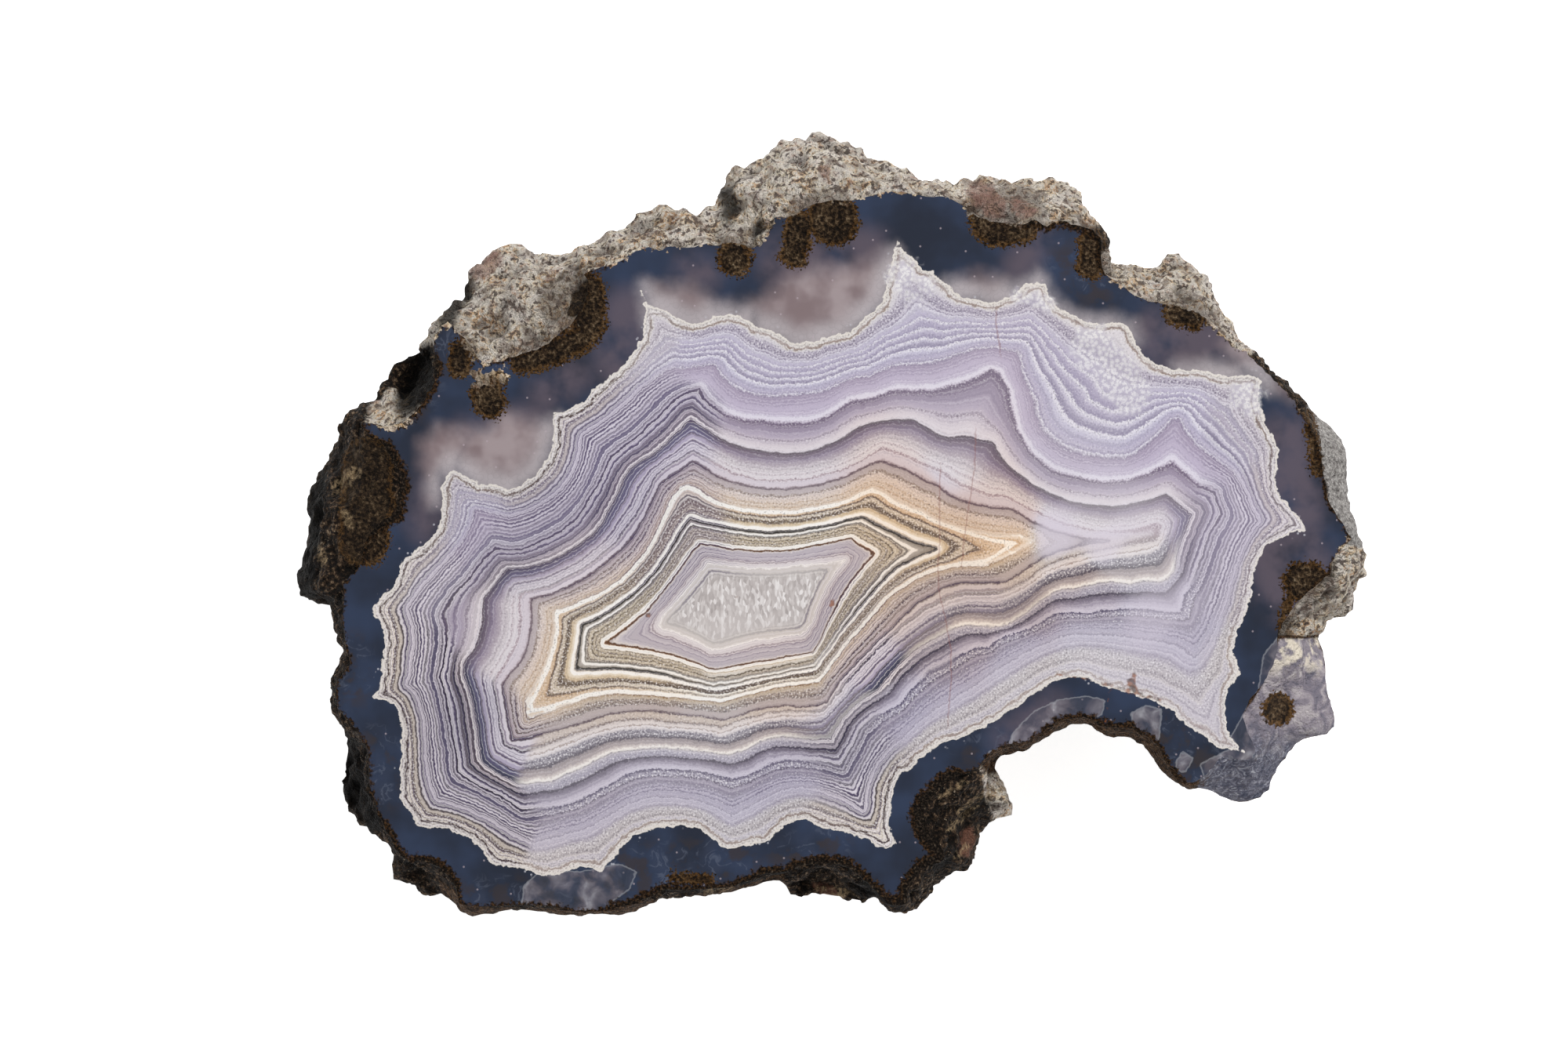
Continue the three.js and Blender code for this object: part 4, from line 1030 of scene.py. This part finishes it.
# growth lines finer than the sequences list, from a noise that varies only across the layers
fine_lines = {"W": grown + 40, "Scale": 17.0, "Detail": 1.2}
fine = polish.node("ShaderNodeTexNoise", {"noise_dimensions": "1D"}, fine_lines)
bands = polish.cover(bands, "ece7f0", fine, 0.54, 0.62, 0.18 + 0.34 * stripe)
bands = polish.cover(bands, "51456a", fine, 0.46, 0.38, 0.16 + 0.50 * stripe)
speckle = specks * (0.09 + 0.36 * grain * grain + 0.30 * grain)
bands = polish.cover(bands, "f9f6f8", speckle, 0.05, 0.75, 0.8)
bands = polish.cover(bands, "463c4c", speckle, -0.05, -0.75, 0.75)
warm = polish.attribute("warm")
bands = polish.mix(warm * 0.55, bands, polish.mix(1.0, bands, (1.10, 0.90, 0.71, 1), "MULTIPLY"))
bands = polish.mix(warm * -0.75, bands, "d5cbdc")
light = polish.attribute("light")
bands = polish.mix(light, bands, "f6f3f7")
bands = polish.mix(light * -1, bands, "4d4458")

# clear quartz in the middle, with feathery crystals in its upper part
flat_noise = {"noise_dimensions": "2D"}
bend = polish.node("ShaderNodeTexNoise", flat_noise, {"Vector": polish.spot, "Scale": 0.06}, "Color")
bent = polish.node("ShaderNodeMix", {"data_type": "VECTOR"}, {0: 0.94, 4: bend, 5: polish.spot}, 1)
upright = polish.node("ShaderNodeMapping", {}, {"Vector": bent, "Scale": (1.0, 0.38, 1.0)})
crystals = {"Vector": upright, "Scale": 0.42, "Randomness": 1.0}
crystals = polish.node("ShaderNodeTexVoronoi", {"voronoi_dimensions": "2D"}, crystals, "Color")
crystals = polish.node("ShaderNodeSeparateColor", {}, {0: crystals})
feathers = {"Vector": upright, "Scale": 0.12, "Detail": 4, "Distortion": 0.8}
feathers = polish.node("ShaderNodeTexNoise", flat_noise, feathers)
quartz = polish.ramp(crystals * 0.55 + feathers * 0.6, "0.2 9f9795, .45 b8b0ae, .65 cfc8c6, .85 f3efee")
lower_quartz, upper_quartz = polish.mix(0.6, quartz, "d2cac8"), polish.mix(0.2, quartz, "cfc7c6")
quartz = polish.cover(lower_quartz, upper_quartz, upward + 6 * polish.noise(20, seed=40), -132, -112)
bands = polish.cover(bands, quartz, grown, 8.12, 8.3)

# the dark rim, mauve and hazy in places, and smoky with wisps in others
clouds = polish.noise(90, detail=3, seed=5.5)
rim = polish.cover("121c30", "253450", clouds, -1, 1)
mauve = polish.attribute("mauve") * polish.rise(polish.noise(45, detail=3, seed=6.5), -1.4, 0.6)
rim = polish.mix(mauve * 0.8, rim, "5d525e")
near_skin = polish.rise(skin_depth, -42, -6)
bubble_cells = polish.cells(9)
hazy_clouds = clouds + 0.6 * polish.noise(30, detail=2, seed=26)
hazy = polish.cover("857375", "a59698", hazy_clouds, -0.8, 0.8)
hazy = polish.mix(near_skin * near_skin * 0.6, hazy, "c6c0c4")
hazy = polish.cover(hazy, "7a7476", abs(bubble_cells - 0.42), 0.10, 0.02, near_skin * 0.14)
hazy_share = polish.rise(polish.frayed("haze", 3, 24, seed=7.5), -20, 18)
rim = polish.mix(hazy_share * 0.94, rim, hazy)
smoke = polish.attribute("smoke")
puffs = polish.noise(30, detail=4, seed=15)
rim = polish.cover(rim, "33261f", puffs, 0.0, 0.6, smoke * 0.6)
wisps = abs(polish.noise(24, detail=4, seed=16, distortion=0.5))
rim = polish.cover(rim, "7f889c", wisps, 0.2, 0.0, smoke * polish.rise(puffs, 0.1, -0.4) * 0.22)
rim = polish.cover(rim, "5c5f72", puffs, 0.2, -0.8, smoke * 0.08)
rim = polish.cover(rim, "b9aab2", polish.cells(46), 0.035, 0.02, 0.5)
beside_skin = polish.rise(skin_depth, -9, -6) * polish.rise(polish.noise(30, seed=8.5), 0.5, 1.0)
rim = polish.cover(rim, "c9c9d2", bubble_cells, 0.20, 0.10, beside_skin * 0.6)

# chips with a painted highlight along their edges, tufts, the edge's brown fringe, and host rock that laps
# over the edge
chip = polish.frayed("chip", 0.6, 6, detail=1, seed=9.5)
chipped = polish.noise(26, detail=3, seed=17, distortion=0.3) * 0.45 + 0.5
chipped = polish.ramp(chipped, "0 262d3b, .35 464857, .55 6b656f, .75 8d878f, 1 c4c2c8")
rim = polish.cover(rim, chipped, chip, -0.5, 1.5, 0.55)
# painted highlight: a light grey line along the chips' edges
rim = polish.cover(rim, "b9bac0", abs(chip), 1.4, 0.4, 0.3)
tuft = polish.frayed("tuft", 2.5, 16, detail=1, seed=18)
spiky = tuft + 5 * polish.noise(3.4, detail=2, seed=10.5)
rim = polish.cover(rim, moss(polish, tuft), spiky, -1.2, 1.0)
fringe = polish.frayed("fringe", 4, 6, detail=2, seed=12.5) - 2 - polish.attribute("edge_depth")
shaggy = polish.noise(3.2, detail=3, seed=13)
brown = polish.ramp(shaggy * 0.35 + 0.42, "0 060403, .4 17100b, .62 3b3026, .85 6f6354, 1 a09483")
brown = polish.cover(brown, "573815", fringe, 9, 2, polish.rise(shaggy, -0.6, 0.6) * 0.65)
rim = polish.cover(rim, brown, fringe, -2, 3)
stones = polish.frayed("stones", 6, 9, seed=29)
rim = polish.cover(rim, "cdb18a", stones, -3, 6, polish.rise(shaggy, -0.6, 0.4) * 0.7)
rocky = polish.rise(polish.frayed("rocky", 6, 9, seed=19), -2, 0.5)
rim = polish.mix(rocky, rim, polish.mix(1.0, host_rock(polish), "e4dace", "MULTIPLY"))

# the whole face: the bands inside the rim, the skin between them, sugary quartz, veins and stains
face = polish.cover(rim, bands, skin, -0.6, 0.8)
face = polish.cover(face, "e9e2da", abs(skin - 1.2), 1.7, 0.5, 0.7)
sugary = polish.cover("bdb7c6", "f7f5f4", polish.cells(6) + 0.35 * specks, 0.6, 0.2)
face = polish.cover(face, sugary, polish.frayed("sugar", 7, 14, seed=13.5), -6, 6, 0.55)
for vein, course in VEINS.items():
    top, bottom = [ORIGIN_PIXEL[1] - corners_of(course)[end][1] for end in (0, -1)]
    offset = abs(polish.frayed(vein, 0.8, 6, detail=1, seed=30))
    fades = polish.rise(upward, top, top - 20) * polish.rise(upward, bottom, bottom + 20)
    face = polish.cover(face, "8a5650", offset, 1.6, 0.3, fades * 0.42)
stain_colour = polish.cover("3c1d0a", "96562a", polish.noise(9, seed=32), -0.6, 0.8)
face = polish.cover(face, stain_colour, polish.frayed("stain", 1, 6, detail=2, seed=31), -1.5, 1.0, 0.75)
polish.link("Base Color", face)
lumps = 0.6 * rocky * polish.noise(7, detail=4, seed=21)
bubbles = near_skin * hazy_share * polish.rise(bubble_cells, 0.6, 0.1)
mossy = polish.rise(spiky, -1, 2) + polish.rise(fringe, -2, 3)
polish.bump(lumps + 0.04 * bubbles + 0.6 * mossy * polish.noise(4.5, detail=3, seed=11.5), 0.0003)
polish.link("Coat Weight", 1 - (rocky + mossy).maths("MINIMUM", 1))
polish.shader.inputs["Coat IOR"].default_value = 1.54
polish.shader.inputs["Coat Roughness"].default_value = 0.15
polish.shader.inputs["Specular IOR Level"].default_value = 0.15
polish.shader.inputs["Roughness"].default_value = 0.6

stone.data.materials.append(rough.material)
stone.data.materials.append(polish.material)

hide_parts("agate_half")
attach(stone, "root")
